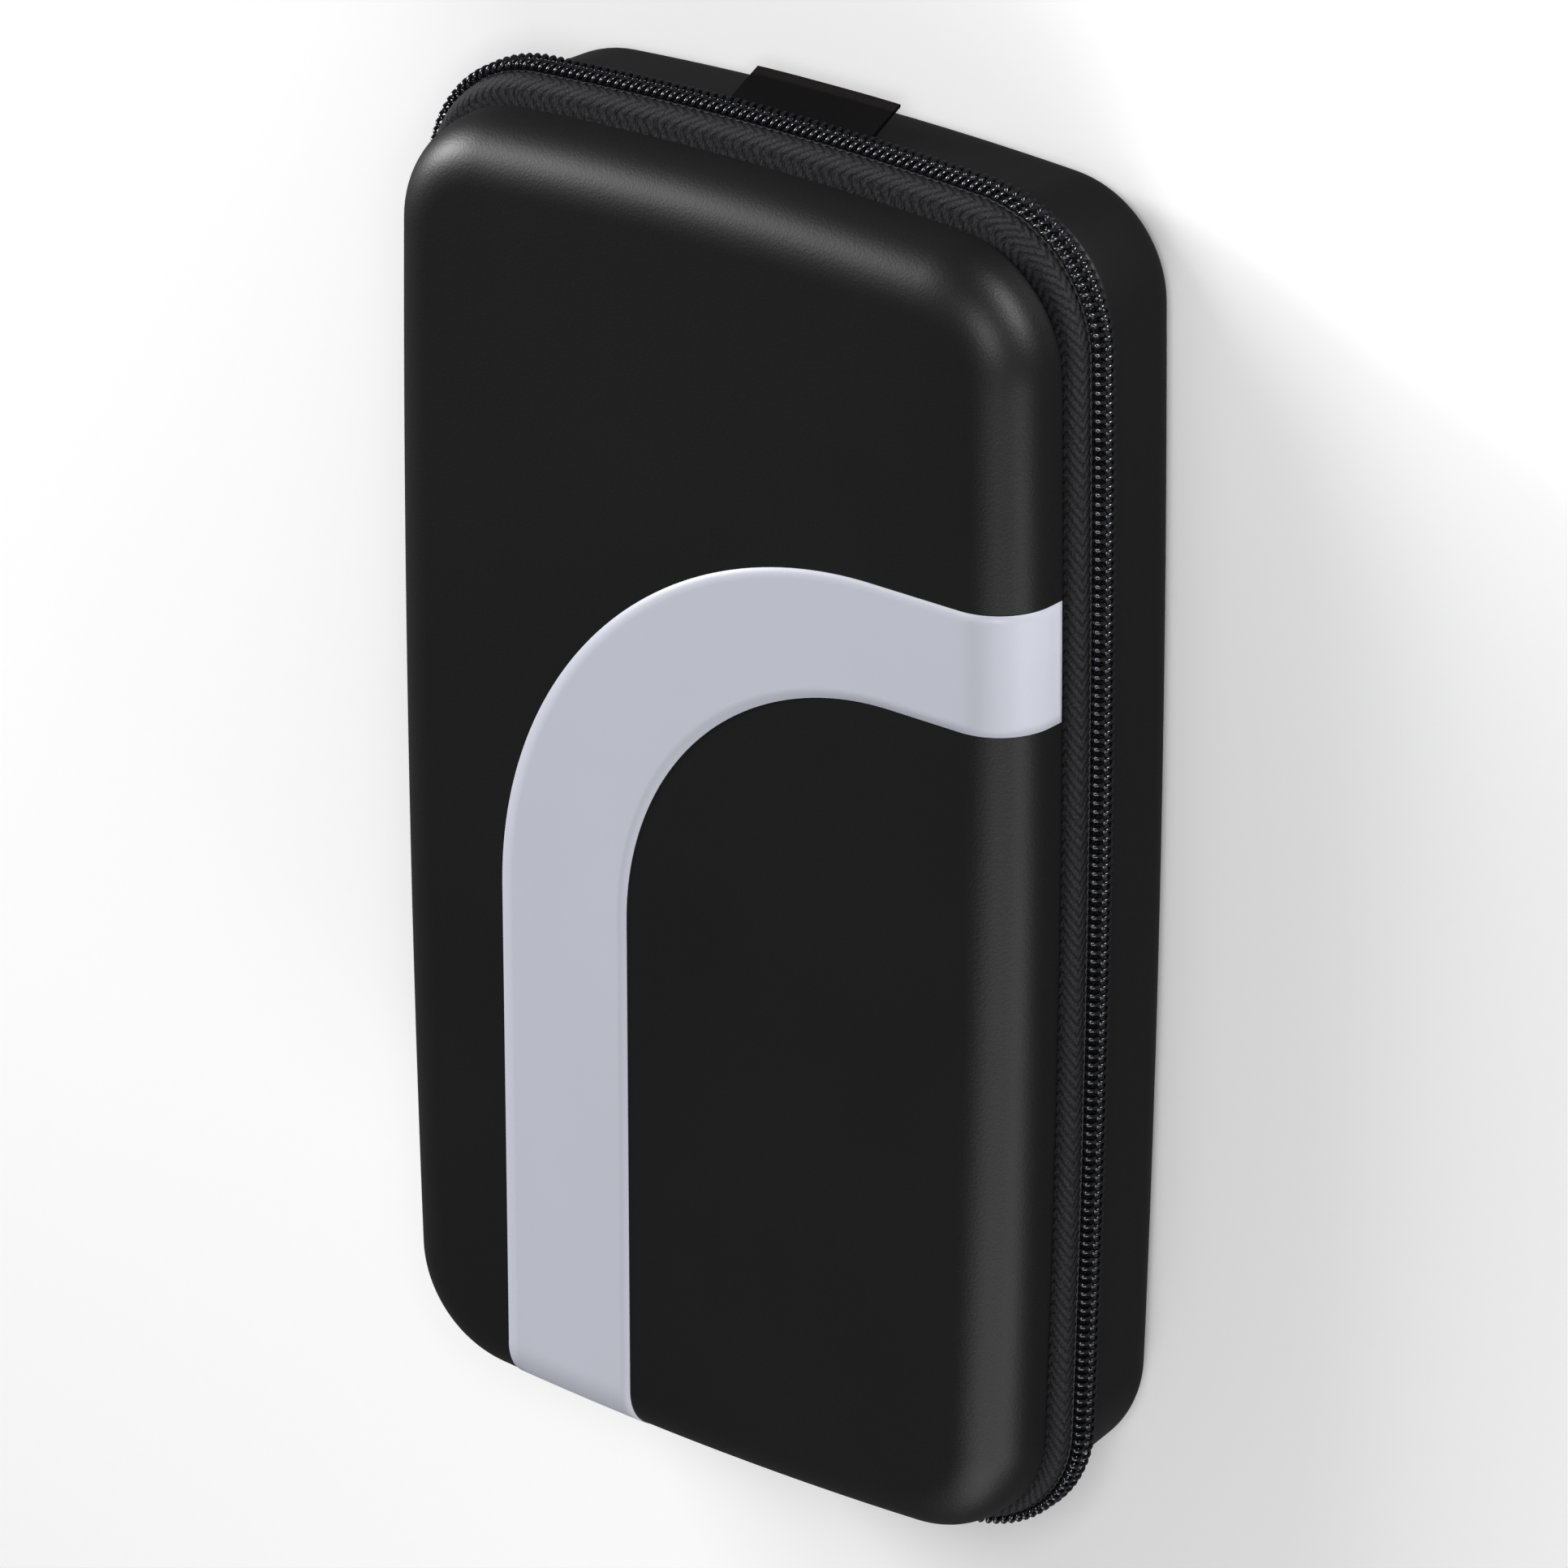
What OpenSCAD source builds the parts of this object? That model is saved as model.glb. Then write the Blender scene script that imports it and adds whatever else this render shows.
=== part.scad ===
// Hard-shell zip case for a handheld game console, lying on its back.
// X is the width (hinge on the left, zip on the right), Y the length, Z the depth.
// The origin is the middle of the flat rear face, and the lid faces up.

/* [Outline] */
// Width over the two shells at their rims
case_w = 99; // [92:0.5:112]
// Length over the two shells at their rims
case_l = 179.4; // [160:0.2:210]
// Radius of the four corners of the outline
corner_r = 16; // [14:0.5:20]

/* [Shells] */
// Depth of the rear shell from its rim to its flat face
rear_depth = 17.4; // [14:0.2:24]
// Radius of the edge round the rear face
rear_round = 7; // [5:0.5:8]
// Depth of the lid shell from its rim to its flat face
lid_depth = 10.5; // [10:0.1:16]
// Radius of the edge round the lid's face
lid_round = 7.8; // [5:0.1:8.5]
// Lean of the shell walls, in degrees
draft = 3.1; // [1:0.1:5]
// Thickness of the padded shell wall
wall = 3.2; // [2.6:0.1:4]
// Thickness of the wall where it is pressed flat for the seam
rim_wall = 1.6; // [1.2:0.1:2]
// Depth of the pressed seam allowance
seam_hem = 6.5; // [5:0.5:8]
// Radius of the turned outer edge of each rim
rim_round = 0.8; // [0.4:0.1:1.2]

/* [Stripe] */
// Left edge of the stripe on the lid
stripe_left = -30.2; // [-32:0.2:-20]
// Width of the stripe's upright run
stripe_w = 20.1; // [10:0.1:24]
// Upper edge of the stripe's level run
stripe_top = 43; // [30:0.5:50]
// Width of the stripe's level run
stripe_level_w = 16; // [10:0.5:22]
// Outer radius of the stripe's bend
stripe_outer_r = 58; // [44:1:62]
// Inner radius of the stripe's bend
stripe_inner_r = 41; // [24:1:43]
// Thickness of the pressed-on film
stripe_film = 0.12; // [0.08:0.01:0.2]

/* [Zip] */
// Gap from the seam plane to each shell's rim
rim_gap = 4.6; // [4.4:0.1:5.4]
// Thickness of the woven zip tape
tape_t = 0.5; // [0.4:0.05:0.6]
// Height of the tape's middle over the shells, under the coil
tape_rise = 1.2; // [1:0.1:1.6]
// Radius of the tape's roll from the rim up to the coil
tape_roll = 1.3; // [1:0.1:1.4]
// Radius of one coil half across its thin side
coil_r = 0.8; // [0.6:0.05:0.85]
// Width of one coil half, without its teeth's heads
coil_w = 2; // [1.8:0.05:2.1]
// Distance from one coil tooth to the next
tooth_pitch = 1.5; // [1.4:0.1:2.4]
// Width of one coil tooth
tooth_w = 0.56; // [0.4:0.02:0.6]
// Half the length of the cloth hinge on the left side
hinge_half = 46; // [36:1:48]
// Thickness of the woven binding inside the rims
binding_t = 0.7; // [0.5:0.05:0.9]

/* [Slider] */
// Length of the slider body
slider_l = 8.6; // [8:0.1:9.4]
// Width of the slider body
slider_w = 6.6; // [6.2:0.1:6.8]
// Thickness of the slider's two plates
slider_plate = 0.8; // [0.7:0.05:0.9]
// Width of the arch over the slider
arch_w = 1.4; // [1:0.1:1.6]
// Diameter of the pull's cross bar
bar_d = 1; // [0.8:0.05:1.1]
// Length of the pull tab
pull_l = 20; // [14:0.5:24]
// Width of the pull tab
pull_w = 4.4; // [4:0.1:4.5]

/* [Label and pocket] */
// Width of the folded label loop
label_w = 21; // [14:0.5:30]
// How far the label loop lies back over the rear shell
label_l = 6; // [4:0.2:8]
// Thickness of the label's woven ribbon
label_t = 0.2; // [0.16:0.02:0.24]
// Middle of the label along the width
label_x = -1; // [-20:0.5:20]
// Upper edge of the mesh pocket in the lid
pocket_top = 30; // [-20:1:50]
// Thickness of the pocket's mesh
mesh_t = 0.6; // [0.4:0.05:0.8]
// Width of the elastic hem on the pocket's open edge
hem_w = 9; // [6:0.5:14]
// Thickness of the elastic hem
hem_t = 1.6; // [1.2:0.1:2]

/* [Hidden] */
eps = 0.01;
lay_gap = 0.05;       // between layers that are sewn or pressed together
running_gap = 0.3;    // between what moves and what it passes
$fn = 96;

half_w = case_w / 2;
half_l = case_l / 2;
corner_x = half_w - corner_r;
corner_y = half_l - corner_r;

// Heights
seam_z = rear_depth + rim_gap;

// Places in the section, as distances out from the corner centres
hem_u = corner_r - rim_wall - lay_gap - tape_t / 2;
tape_u = corner_r + tape_rise;
coil_u = tape_u + tape_t / 2 + lay_gap + coil_r;
tape_turn = 0.5;      // radius of the tape's turn out from under the rim
turn_gap = 0.3;       // from the rim to where the tape's turn starts
tape_in = rim_gap - turn_gap;
link_s = tape_in - tape_turn;
coil_gap = 0.15;      // from the seam plane to each tape's and coil's edge
head = 0.3;           // how far each tooth reaches over the seam plane
tooth_t = 0.45;       // height of the teeth over the coil's core
tooth_tail = 0.2;     // from the end of each tooth to the core's far face

// The chain's ends on the left side
tape_end = hinge_half + running_gap;
stop_l = 2.2;
start_stop_y = tape_end + running_gap;
top_stop_y = -tape_end - 1 - stop_l;
slider_y = top_stop_y - running_gap - slider_l / 2;
wedge_w = 1.5;
wedge_back = slider_y - running_gap;
parting = wedge_w / 2 + running_gap;
coil_start = start_stop_y + stop_l + lay_gap;
coil_end = wedge_back - running_gap;
coil_x = -(corner_x + coil_u);  // the chain's middle on the left side

// The outline is walked counterclockwise: side 0 is the right, 1 the upper, 2 the left
// and 3 the lower one, and corner n follows side n. A stretch is [side, from, to] and a
// corner is [corner].
function middle(n) = n % 2 == 0 ? [corner_x, corner_y] : [corner_y, corner_x];
function whole(n) = [n, -middle(n).y, middle(n).y];
ring = [whole(0), [0], whole(1), [1], whole(2), [2], whole(3), [3]];
function chain(y_start, y_end) =
    [whole(0), [0], whole(1), [1], [2, -corner_y, -y_start], [2, -y_end, corner_y],
     [2], whole(3), [3]];

// Runs a section along the outline: x in it is the distance out from the corner centres
module sweep(path) {
    for (p = path)
        rotate(90 * p[0])
            if (len(p) == 1)
                translate([middle(p[0]).x, middle(p[0]).y, 0])
                    rotate_extrude(angle = 90) children();
            else
                translate([middle(p[0]).x, p[2], 0])
                    rotate([90, 0, 0])
                        linear_extrude(p[2] - p[1]) children();
}

// Sets something drawn above the seam plane onto the lid or, turned over, the rear
module on_lid() { translate([0, 0, seam_z]) children(); }
module on_rear() { translate([0, 0, seam_z]) mirror([0, 0, 1]) children(); }

// Section of a drafted pan with a rounded edge, filled, from its rim at y = 0. The rim's
// own edge is turned with the radius rim_r, or sharp where that is 0.
module pan_section(inset, depth, round_r, rim_r = 0) {
    c = [corner_r - inset - tan(draft) * (depth - round_r) - round_r / cos(draft),
         depth - round_r];
    e = [corner_r - inset - rim_r * (1 + sin(draft)) / cos(draft), rim_r];
    rim = rim_r > 0 ? [[0, 0], [e.x, 0], e, e + rim_r * [cos(draft), sin(draft)]]
                    : [[0, 0], [corner_r - inset, 0]];
    polygon(concat(rim, [c + round_r * [cos(draft), sin(draft)], c, [c.x, depth],
                         [0, depth]]));
    translate(c)
        intersection() {
            circle(round_r);
            square(round_r);
        }
    if (rim_r > 0)
        translate(e)
            intersection() {
                circle(rim_r, $fn = 32);
                translate([0, -rim_r]) square([rim_r, 1.5 * rim_r]);
            }
}

// Middle of a pan's flat face, between the corner centres
module face_plate(depth, t) {
    translate([-corner_x, -corner_y, depth - t])
        cube([2 * corner_x, 2 * corner_y, t]);
}

// One moulded shell, from its rim up
module shell(depth, round_r) {
    translate([0, 0, rim_gap]) {
        sweep(ring)
            difference() {
                pan_section(0, depth, round_r, rim_round);
                pan_section(wall, depth - wall, round_r - wall / 2);
                square([corner_r - rim_wall, seam_hem]);
            }
        face_plate(depth, wall);
    }
}

// Quarter of a bent strip, in one quadrant
module strip_bend(at, r, t, quarter) {
    translate(at)
        intersection() {
            difference() {
                circle(r + t / 2);
                circle(r - t / 2);
            }
            rotate(90 * quarter) square(r + t);
        }
}

// Section of a strip from the seam hem, round the rim and up to the seam plane
module tape_section(t, edge) {
    roll_u = tape_u - tape_roll;
    roll_s = link_s - tape_roll;
    translate([hem_u - t / 2, tape_in]) square([t, seam_hem + turn_gap - lay_gap]);
    strip_bend([hem_u + tape_turn, tape_in], tape_turn, t, 2);
    translate([hem_u + tape_turn, link_s - t / 2])
        square([roll_u - hem_u - tape_turn, t]);
    strip_bend([roll_u, roll_s], tape_roll, t, 0);
    translate([tape_u - t / 2, edge]) square([t, roll_s - edge]);
}

// Two woven zip tapes, parted by the slider's wedge where the chain ends
module zip_tape() {
    difference() {
        sweep(chain(tape_end, -tape_end)) tape_section(tape_t, coil_gap);
        translate([-corner_x - 2 * corner_r, coil_end, -parting])
            cube([2 * corner_r, -tape_end - coil_end + tape_t, 2 * parting]);
    }
}

// Section of a coil half's core: the wire's inner side and the cord it is wound round
module coil_core() {
    edge = 0.3;       // of the cord's rounded inner side
    u = coil_u - coil_r;
    top_u = coil_u + coil_r - tooth_t;
    low = head + lay_gap;
    high = coil_gap + coil_w;
    polygon([[u, low], [top_u, low], [top_u, high], [u + edge, high], [u, high - edge]]);
}

// Teeth over one stretch, set along it by a share of their pitch. Round the corners they
// are sunk a little into the core's round face.
module teeth(p, share) {
    u = coil_u + coil_r - tooth_t;
    reach = head + coil_gap + coil_w - tooth_tail;
    turn = 180 / PI / coil_u; // degrees for each mm along a corner
    rotate(90 * p[0])
        if (len(p) == 1) {
            step = 90 / round(90 / (turn * tooth_pitch));
            translate([middle(p[0]).x, middle(p[0]).y, 0])
                for (a = [step * share : step : 90])
                    rotate(a - turn * tooth_w / 2)
                        rotate_extrude(angle = turn * tooth_w)
                            translate([u - lay_gap, -head])
                                square([tooth_t + lay_gap, reach]);
        } else {
            step = (p[2] - p[1]) / round((p[2] - p[1]) / tooth_pitch);
            translate([middle(p[0]).x + u, 0, 0])
                rotate([90, 0, 90])
                    linear_extrude(tooth_t)
                        for (y = [p[1] + step * share : step : p[2]])
                            translate([y - tooth_w / 2, -head]) square([tooth_w, reach]);
        }
}

// One coil half. The heads of its teeth lie between the other half's.
module zip_coil(share) {
    path = chain(coil_start, coil_end);
    sweep(path) coil_core();
    for (p = path) teeth(p, share);
}

// Woven binding over the raw edges inside the seam hem
module edge_binding() {
    from_rim = 0.4;
    u = hem_u - tape_t / 2 - lay_gap - binding_t;
    sweep(ring)
        translate([u, rim_gap + from_rim])
            square([binding_t, seam_hem - from_rim - lay_gap]);
}

// A stop crimped on the tape at the left side, between two distances from the seam
module stop(y, low, high) {
    crimp = 0.1;      // how far it is pressed outwards, off the tape's face
    translate([coil_x - coil_r - crimp, y, low])
        cube([2 * coil_r, stop_l, high - low]);
}

module rear_shell() { color([0.12, 0.12, 0.12]) on_rear() shell(rear_depth, rear_round); }
module front_shell() { color([0.13, 0.13, 0.13]) on_lid() shell(lid_depth, lid_round); }
module rear_zip_tape() { color([0.14, 0.14, 0.15]) on_rear() zip_tape(); }
module front_zip_tape() { color([0.14, 0.14, 0.15]) on_lid() zip_tape(); }
module rear_zip_coil() { color([0.2, 0.2, 0.22]) on_rear() zip_coil(1 / 4); }
module front_zip_coil() { color([0.2, 0.2, 0.22]) on_lid() zip_coil(3 / 4); }
module rear_edge_binding() { color([0.1, 0.1, 0.11]) on_rear() edge_binding(); }
module front_edge_binding() { color([0.1, 0.1, 0.11]) on_lid() edge_binding(); }

// Everything right of x and below y, with its upper left corner rounded
module bend_area(x, y, r) {
    far = case_l;
    translate([x, -far]) square([far, far + y - r]);
    translate([x + r, -far]) square([far, far + y]);
    translate([x + r, y - r]) circle(r, $fn = 180);
}

// Film pressed on the lid: up from the lower end, round the bend and off to the right
module front_stripe() {
    color([0.77, 0.78, 0.83])
        intersection() {
            on_lid()
                linear_extrude(rim_gap + lid_depth + 1)
                    difference() {
                        bend_area(stripe_left, stripe_top, stripe_outer_r);
                        bend_area(stripe_left + stripe_w, stripe_top - stripe_level_w,
                                  stripe_inner_r);
                    }
            on_lid()
                translate([0, 0, rim_gap]) {
                    sweep([whole(0), whole(3)])
                        difference() {
                            pan_section(-stripe_film, lid_depth + stripe_film,
                                        lid_round + stripe_film);
                            pan_section(0, lid_depth, lid_round);
                            square([case_w, rim_round * (1 + sin(draft))]);
                        }
                    face_plate(lid_depth + stripe_film, stripe_film);
                }
        }
}

// Cloth hinge along the left side, from one seam hem to the other
module hinge_strip() {
    color([0.11, 0.11, 0.12])
        translate([0, 0, seam_z])
            sweep([[2, -hinge_half, hinge_half]]) {
                tape_section(tape_t, -eps);
                mirror([0, 1]) tape_section(tape_t, -eps);
            }
}

// Side view of the label's loop: two layers and the fold that joins them
module loop_profile(spread) {
    for (side = [-1, 1])
        translate([0, (side * (label_t + spread) - label_t) / 2])
            square([label_l, label_t]);
    translate([label_l, 0])
        intersection() {
            difference() {
                circle(label_t + spread / 2, $fn = 32);
                circle(spread / 2, $fn = 32);
            }
            translate([0, -1]) square([1, 2]);
        }
}

// Folded satin label, sewn into the upper end's rear seam and leaning over the shell
module label_loop() {
    lean = 28;        // from upright
    spread = 0.2;     // between the two layers
    root_y = corner_y + hem_u + tape_turn;
    turn_y = half_l + running_gap;
    root_s = (rim_gap + link_s + tape_t / 2) / 2;
    color([0.05, 0.05, 0.055])
        on_rear()
            translate([label_x - label_w / 2, 0, 0])
                rotate([90, 0, 90])
                    linear_extrude(label_w) {
                        translate([root_y, root_s - label_t])
                            square([turn_y - root_y, 2 * label_t]);
                        translate([turn_y, root_s])
                            rotate(90 - lean) loop_profile(spread);
                    }
}

module zip_start_stop() {
    color([0.18, 0.18, 0.19])
        on_lid() stop(start_stop_y, -coil_gap - coil_w, coil_gap + coil_w);
}

module rear_top_stop() {
    color([0.18, 0.18, 0.19]) on_rear() stop(top_stop_y, parting, coil_gap + coil_w + 0.6);
}

module front_top_stop() {
    color([0.18, 0.18, 0.19]) on_lid() stop(top_stop_y, parting, coil_gap + coil_w + 0.6);
}

// The pocket's edge lies just inside the binding, and the sheet just in from the rim
pocket_u = hem_u - tape_t / 2 - 4 * lay_gap - binding_t;
pocket_s = rim_gap + 1;

// Mesh sheet across the lower part of the lid
module mesh_pocket() {
    color([0.16, 0.16, 0.17])
        on_lid()
            intersection() {
                translate([0, 0, pocket_s]) {
                    sweep(ring) square([pocket_u, mesh_t]);
                    face_plate(mesh_t, mesh_t);
                }
                translate([-half_w, -half_l, 0])
                    cube([case_w, half_l + pocket_top, lid_depth]);
            }
}

// Elastic hem along the pocket's open edge
module pocket_hem() {
    drawn_in = 0.6;   // at each end, by the elastic
    w = 2 * (corner_x + pocket_u - drawn_in);
    color([0.08, 0.08, 0.09])
        on_lid()
            translate([-w / 2, pocket_top + lay_gap, pocket_s + (mesh_t - hem_t) / 2])
                cube([w, hem_w, hem_t]);
}

// The slider is drawn with x out from the coil's middle and y along the chain
inner_face = coil_r + lay_gap + tape_t + running_gap;
outer_face = coil_r + running_gap;
plate_top = outer_face + slider_plate;
bar_gap = 0.25;
bar_x = plate_top + bar_gap + bar_d / 2;
arch_in = bar_x + bar_d / 2 + bar_gap;
arch_t = 0.8;
arch_top = arch_in + arch_t;
arch_l = 5.2;
arch_leg = 1.4;
slider_corner = 0.6;

// Places the slider's own axes on the left side's coil
module at_slider() {
    translate([coil_x, slider_y, seam_z]) rotate([0, 0, 180]) children();
}

// Shield-shaped plate: broad at the parting end, narrower where the chain leaves
module slider_outline(w) {
    r = slider_corner;
    broad_l = slider_l * 0.42;
    translate([-slider_l / 2, -w / 2 + r]) square([slider_l, w - 2 * r]);
    translate([-slider_l / 2 + r, -w / 2]) square([broad_l, w]);
    for (s = [-1, 1], along = [0, broad_l])
        translate([-slider_l / 2 + r + along, s * (w / 2 - r)]) circle(r, $fn = 24);
}

// Turns a plan drawn along the chain into a plate that faces out
module plate(low, t) {
    translate([low, 0, 0]) rotate([90, 0, 90]) linear_extrude(t) children();
}

// Rail along one side of the outer plate, turned in over the coil
module slider_rail() {
    rail_in = coil_gap + coil_w + running_gap;
    rail_depth = 0.4;
    translate([-rail_depth, -slider_l / 2 + slider_corner, rail_in])
        cube([outer_face + rail_depth + eps, slider_l - 2 * slider_corner,
              slider_w / 2 - slider_corner / 2 - rail_in]);
}

// Plan of the wedge that parts the coils, its broad end where they leave
module wedge_plan() {
    tip = -slider_l / 2 + 0.5;
    tail_w = 0.7;
    polygon([[tip, 0], [tip + 1.1, wedge_w / 2], [0, tail_w / 2],
             [0, -tail_w / 2], [tip + 1.1, -wedge_w / 2]]);
}

module zip_slider() {
    color([0.16, 0.16, 0.17])
        at_slider() {
            plate(outer_face, slider_plate) slider_outline(slider_w);
            plate(-inner_face - slider_plate, slider_plate) slider_outline(slider_w - 0.8);
            for (s = [0, 1])
                mirror([0, 0, s]) slider_rail();
            plate(-inner_face - eps, inner_face + outer_face + 2 * eps) wedge_plan();
            translate([plate_top - eps, 0, -arch_w / 2])
                linear_extrude(arch_w)
                    difference() {
                        translate([0, -arch_l / 2]) square([arch_top - plate_top, arch_l]);
                        translate([-eps, -arch_l / 2 + arch_leg])
                            square([arch_in - plate_top, arch_l - 2 * arch_leg]);
                    }
        }
}

// Flat pull with an eye round the slider's arch, lying along the cloth hinge
module pull_tab() {
    eye_w = arch_w + 2 * running_gap;
    eye_l = norm([arch_l / 2, arch_top - bar_x]) + running_gap;
    color([0.15, 0.15, 0.16])
        at_slider()
            translate([bar_x, 0, 0])
                difference() {
                    union() {
                        plate(-bar_d / 2, bar_d) {
                            translate([-pull_l + pull_w / 2, -pull_w / 2])
                                square([pull_l - pull_w / 2, pull_w]);
                            translate([-pull_l + pull_w / 2, 0]) circle(pull_w / 2);
                        }
                        translate([0, 0, -pull_w / 2]) cylinder(d = bar_d, h = pull_w, $fn = 32);
                    }
                    translate([-bar_d, -eye_l, -eye_w / 2])
                        cube([2 * bar_d, eye_l - bar_d / 2, eye_w]);
                }
}

rear_shell();
rear_zip_tape();
rear_zip_coil();
rear_edge_binding();
hinge_strip();
label_loop();
zip_start_stop();
rear_top_stop();
front_shell();
front_stripe();
front_zip_tape();
front_zip_coil();
front_edge_binding();
mesh_pocket();
pocket_hem();
front_top_stop();
zip_slider();
pull_tab();
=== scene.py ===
"""Hard-shell zip case for a handheld game console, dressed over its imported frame.

The file is laid out as an add-on: the sizes and colours are properties, each group of
pieces has an operator, and the sidebar panel lists them. Run as a script, it builds the
whole case and its stage. Lengths are metres, and the case lies on its back with its lid up.
"""

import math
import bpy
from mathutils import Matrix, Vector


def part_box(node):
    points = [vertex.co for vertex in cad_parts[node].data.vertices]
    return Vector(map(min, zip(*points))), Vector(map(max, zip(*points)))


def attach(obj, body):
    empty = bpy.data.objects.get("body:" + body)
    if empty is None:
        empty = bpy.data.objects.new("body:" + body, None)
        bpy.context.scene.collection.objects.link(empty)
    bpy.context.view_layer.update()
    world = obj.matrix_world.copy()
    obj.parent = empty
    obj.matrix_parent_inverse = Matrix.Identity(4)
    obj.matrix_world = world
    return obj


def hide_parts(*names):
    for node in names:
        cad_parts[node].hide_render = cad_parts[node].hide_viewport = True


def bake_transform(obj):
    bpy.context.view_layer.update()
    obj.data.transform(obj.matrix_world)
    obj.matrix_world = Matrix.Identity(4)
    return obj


bl_info = {
    "name": "Console Case",
    "version": (1, 0, 0),
    "blender": (4, 5, 0),
    "location": "View3D > Sidebar > Case",
    "description": "Builds a moulded zip case with its coil zip, label and lid pocket",
    "category": "Add Mesh",
}

import bmesh
import bpy
import numpy as np
from mathutils import Matrix, Vector

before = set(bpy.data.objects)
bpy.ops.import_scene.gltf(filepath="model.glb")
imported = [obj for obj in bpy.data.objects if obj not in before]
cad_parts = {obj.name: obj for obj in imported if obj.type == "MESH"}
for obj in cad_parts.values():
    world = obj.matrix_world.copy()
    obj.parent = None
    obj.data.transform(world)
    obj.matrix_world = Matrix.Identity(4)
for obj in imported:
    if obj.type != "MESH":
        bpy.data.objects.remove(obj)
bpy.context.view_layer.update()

MM = 0.001
LEAN = math.radians(3.1)  # of the moulded walls
HINGE_X = -0.0518  # the lid's turning line, along Y at the seam's height
CORNER_Y = 0.072  # where the zip leaves the straight left side, at each end
CLOTH_Y = 0.0463  # where the tapes stop beside the hinge's cloth
CHAIN_Y = (-0.0552, 0.0489)  # where the coils begin and end on the left side
SLIDER_Y = -0.0555  # the slider parts the tapes from here up
PARTED = 0.95 * MM  # how far it draws each tape's edge back
WIRE_STEPS = 14  # of the coil's wire, to a tooth
GRID = 0.008  # of the cuts that let the net sag
# each half's side of the seam, its word in the pieces' names, its body and its word in
# the frame's node names
HALVES = ((-1, "rear", "base", "rear"), (1, "lid", "lid", "front"))
# x and y of the centre and radius of the stripe's bend, at its outer and inner edge
STRIPE_OUTER = np.array([0.0278, -0.015, 0.058])
STRIPE_INNER = np.array([0.0309, -0.014, 0.041])
RIM_STEPS = 6  # of the rim's turned edge


# Colours and sizes -----------------------------------------------------------------


def linear(code):
    """The linear RGBA of an sRGB hex colour."""
    parts = [int(code[i : i + 2], 16) / 255 for i in (1, 3, 5)]
    return tuple(
        p / 12.92 if p <= 0.04045 else ((p + 0.055) / 1.055) ** 2.4 for p in parts
    ) + (1.0,)


def length(name, description, default):
    """A length property in metres."""
    return bpy.props.FloatProperty(
        name=name,
        description=description,
        default=default,
        min=0.0,
        precision=5,
        unit="LENGTH",
        subtype="DISTANCE",
    )


def colour(name, description, code):
    """A colour property whose default is an sRGB hex colour."""
    return bpy.props.FloatVectorProperty(
        name=name,
        description=description,
        default=linear(code),
        size=4,
        min=0.0,
        max=1.0,
        subtype="COLOR",
    )


class CaseSizes(bpy.types.PropertyGroup):
    """Sizes of the case that a user would change"""

    half_width: length("Half width", "Middle of the case to a long side", 0.0498)
    half_length: length("Half length", "Middle of the case to an end", 0.0900)
    corner: length("Corner radius", "Radius of the outline's corners", 0.016)
    side_bow: length("Side bow", "Radius of the long sides' slight bow", 2.88)
    end_bow: length("End bow", "Radius of the ends' slight bow", 0.525)
    seam: length("Seam height", "Height of the zip's seam over the floor", 0.022)
    rim_gap: length("Rim gap", "From the seam to each shell's rim", 0.0046)
    lid_short: length("Lid short", "How far the lid's top end stays back", 0.0017)
    rear_depth: length("Rear depth", "Rear shell's depth from its rim", 0.0174)
    rear_round: length("Rear edge", "Radius round the rear face", 0.007)
    lid_depth: length("Lid depth", "Lid's depth from its rim", 0.0105)
    lid_round: length("Lid edge", "Radius round the lid's face", 0.0078)
    wall: length("Wall", "Thickness of the padded wall", 0.0032)
    rim_wall: length("Rim wall", "Thickness of the pressed rim", 0.0016)
    hem: length("Seam hem", "Depth of the pressed seam allowance", 0.0065)
    rim_round: length("Rim edge", "Radius of the rim's turned edge", 0.0008)
    film: length("Film", "Thickness of the stripe's film", 0.00012)
    tape: length("Tape", "Thickness of the woven zip tape", 0.0005)
    tape_out: length("Tape reach", "Corner centre to the tape under the coil", 0.0172)
    coil_out: length("Coil reach", "Corner centre to the coil's middle", 0.0183)
    pitch: length("Coil pitch", "From one coil tooth to the next", 0.0012)
    wire: length("Coil wire", "Radius of the coil's nylon wire", 0.00027)
    hinge: length("Hinge half", "Half the length of the cloth hinge", 0.046)
    pocket_top: length("Pocket top", "Height of the pocket's edge up the lid", 0.030)


class CaseColours(bpy.types.PropertyGroup):
    """Colours of the case's finishes"""

    skin: colour("Skin", "Pressed skin of both shells", "#0D0D0E")
    film: colour("Stripe", "Film pressed on the lid", "#BABCC7")
    lining: colour("Lining", "Brushed cloth inside the shells", "#1D1D20")
    tape: colour("Zip tape", "Woven tape of the zip", "#17171A")
    coil: colour("Zip coil", "Nylon teeth of the zip", "#0C0C0F")
    label: colour("Label", "Satin ribbon of the label loop", "#080708")
    fold: colour("Label fold", "Coarser threads on the ribbon's fold", "#1F1A1A")
    enamel: colour("Slider", "Enamel on the slider, pull and stops", "#1B1B1D")
    floor: colour("Floor", "Paper sweep under the case", "#FAFAFA")


# Mesh helpers ----------------------------------------------------------------------


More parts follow.
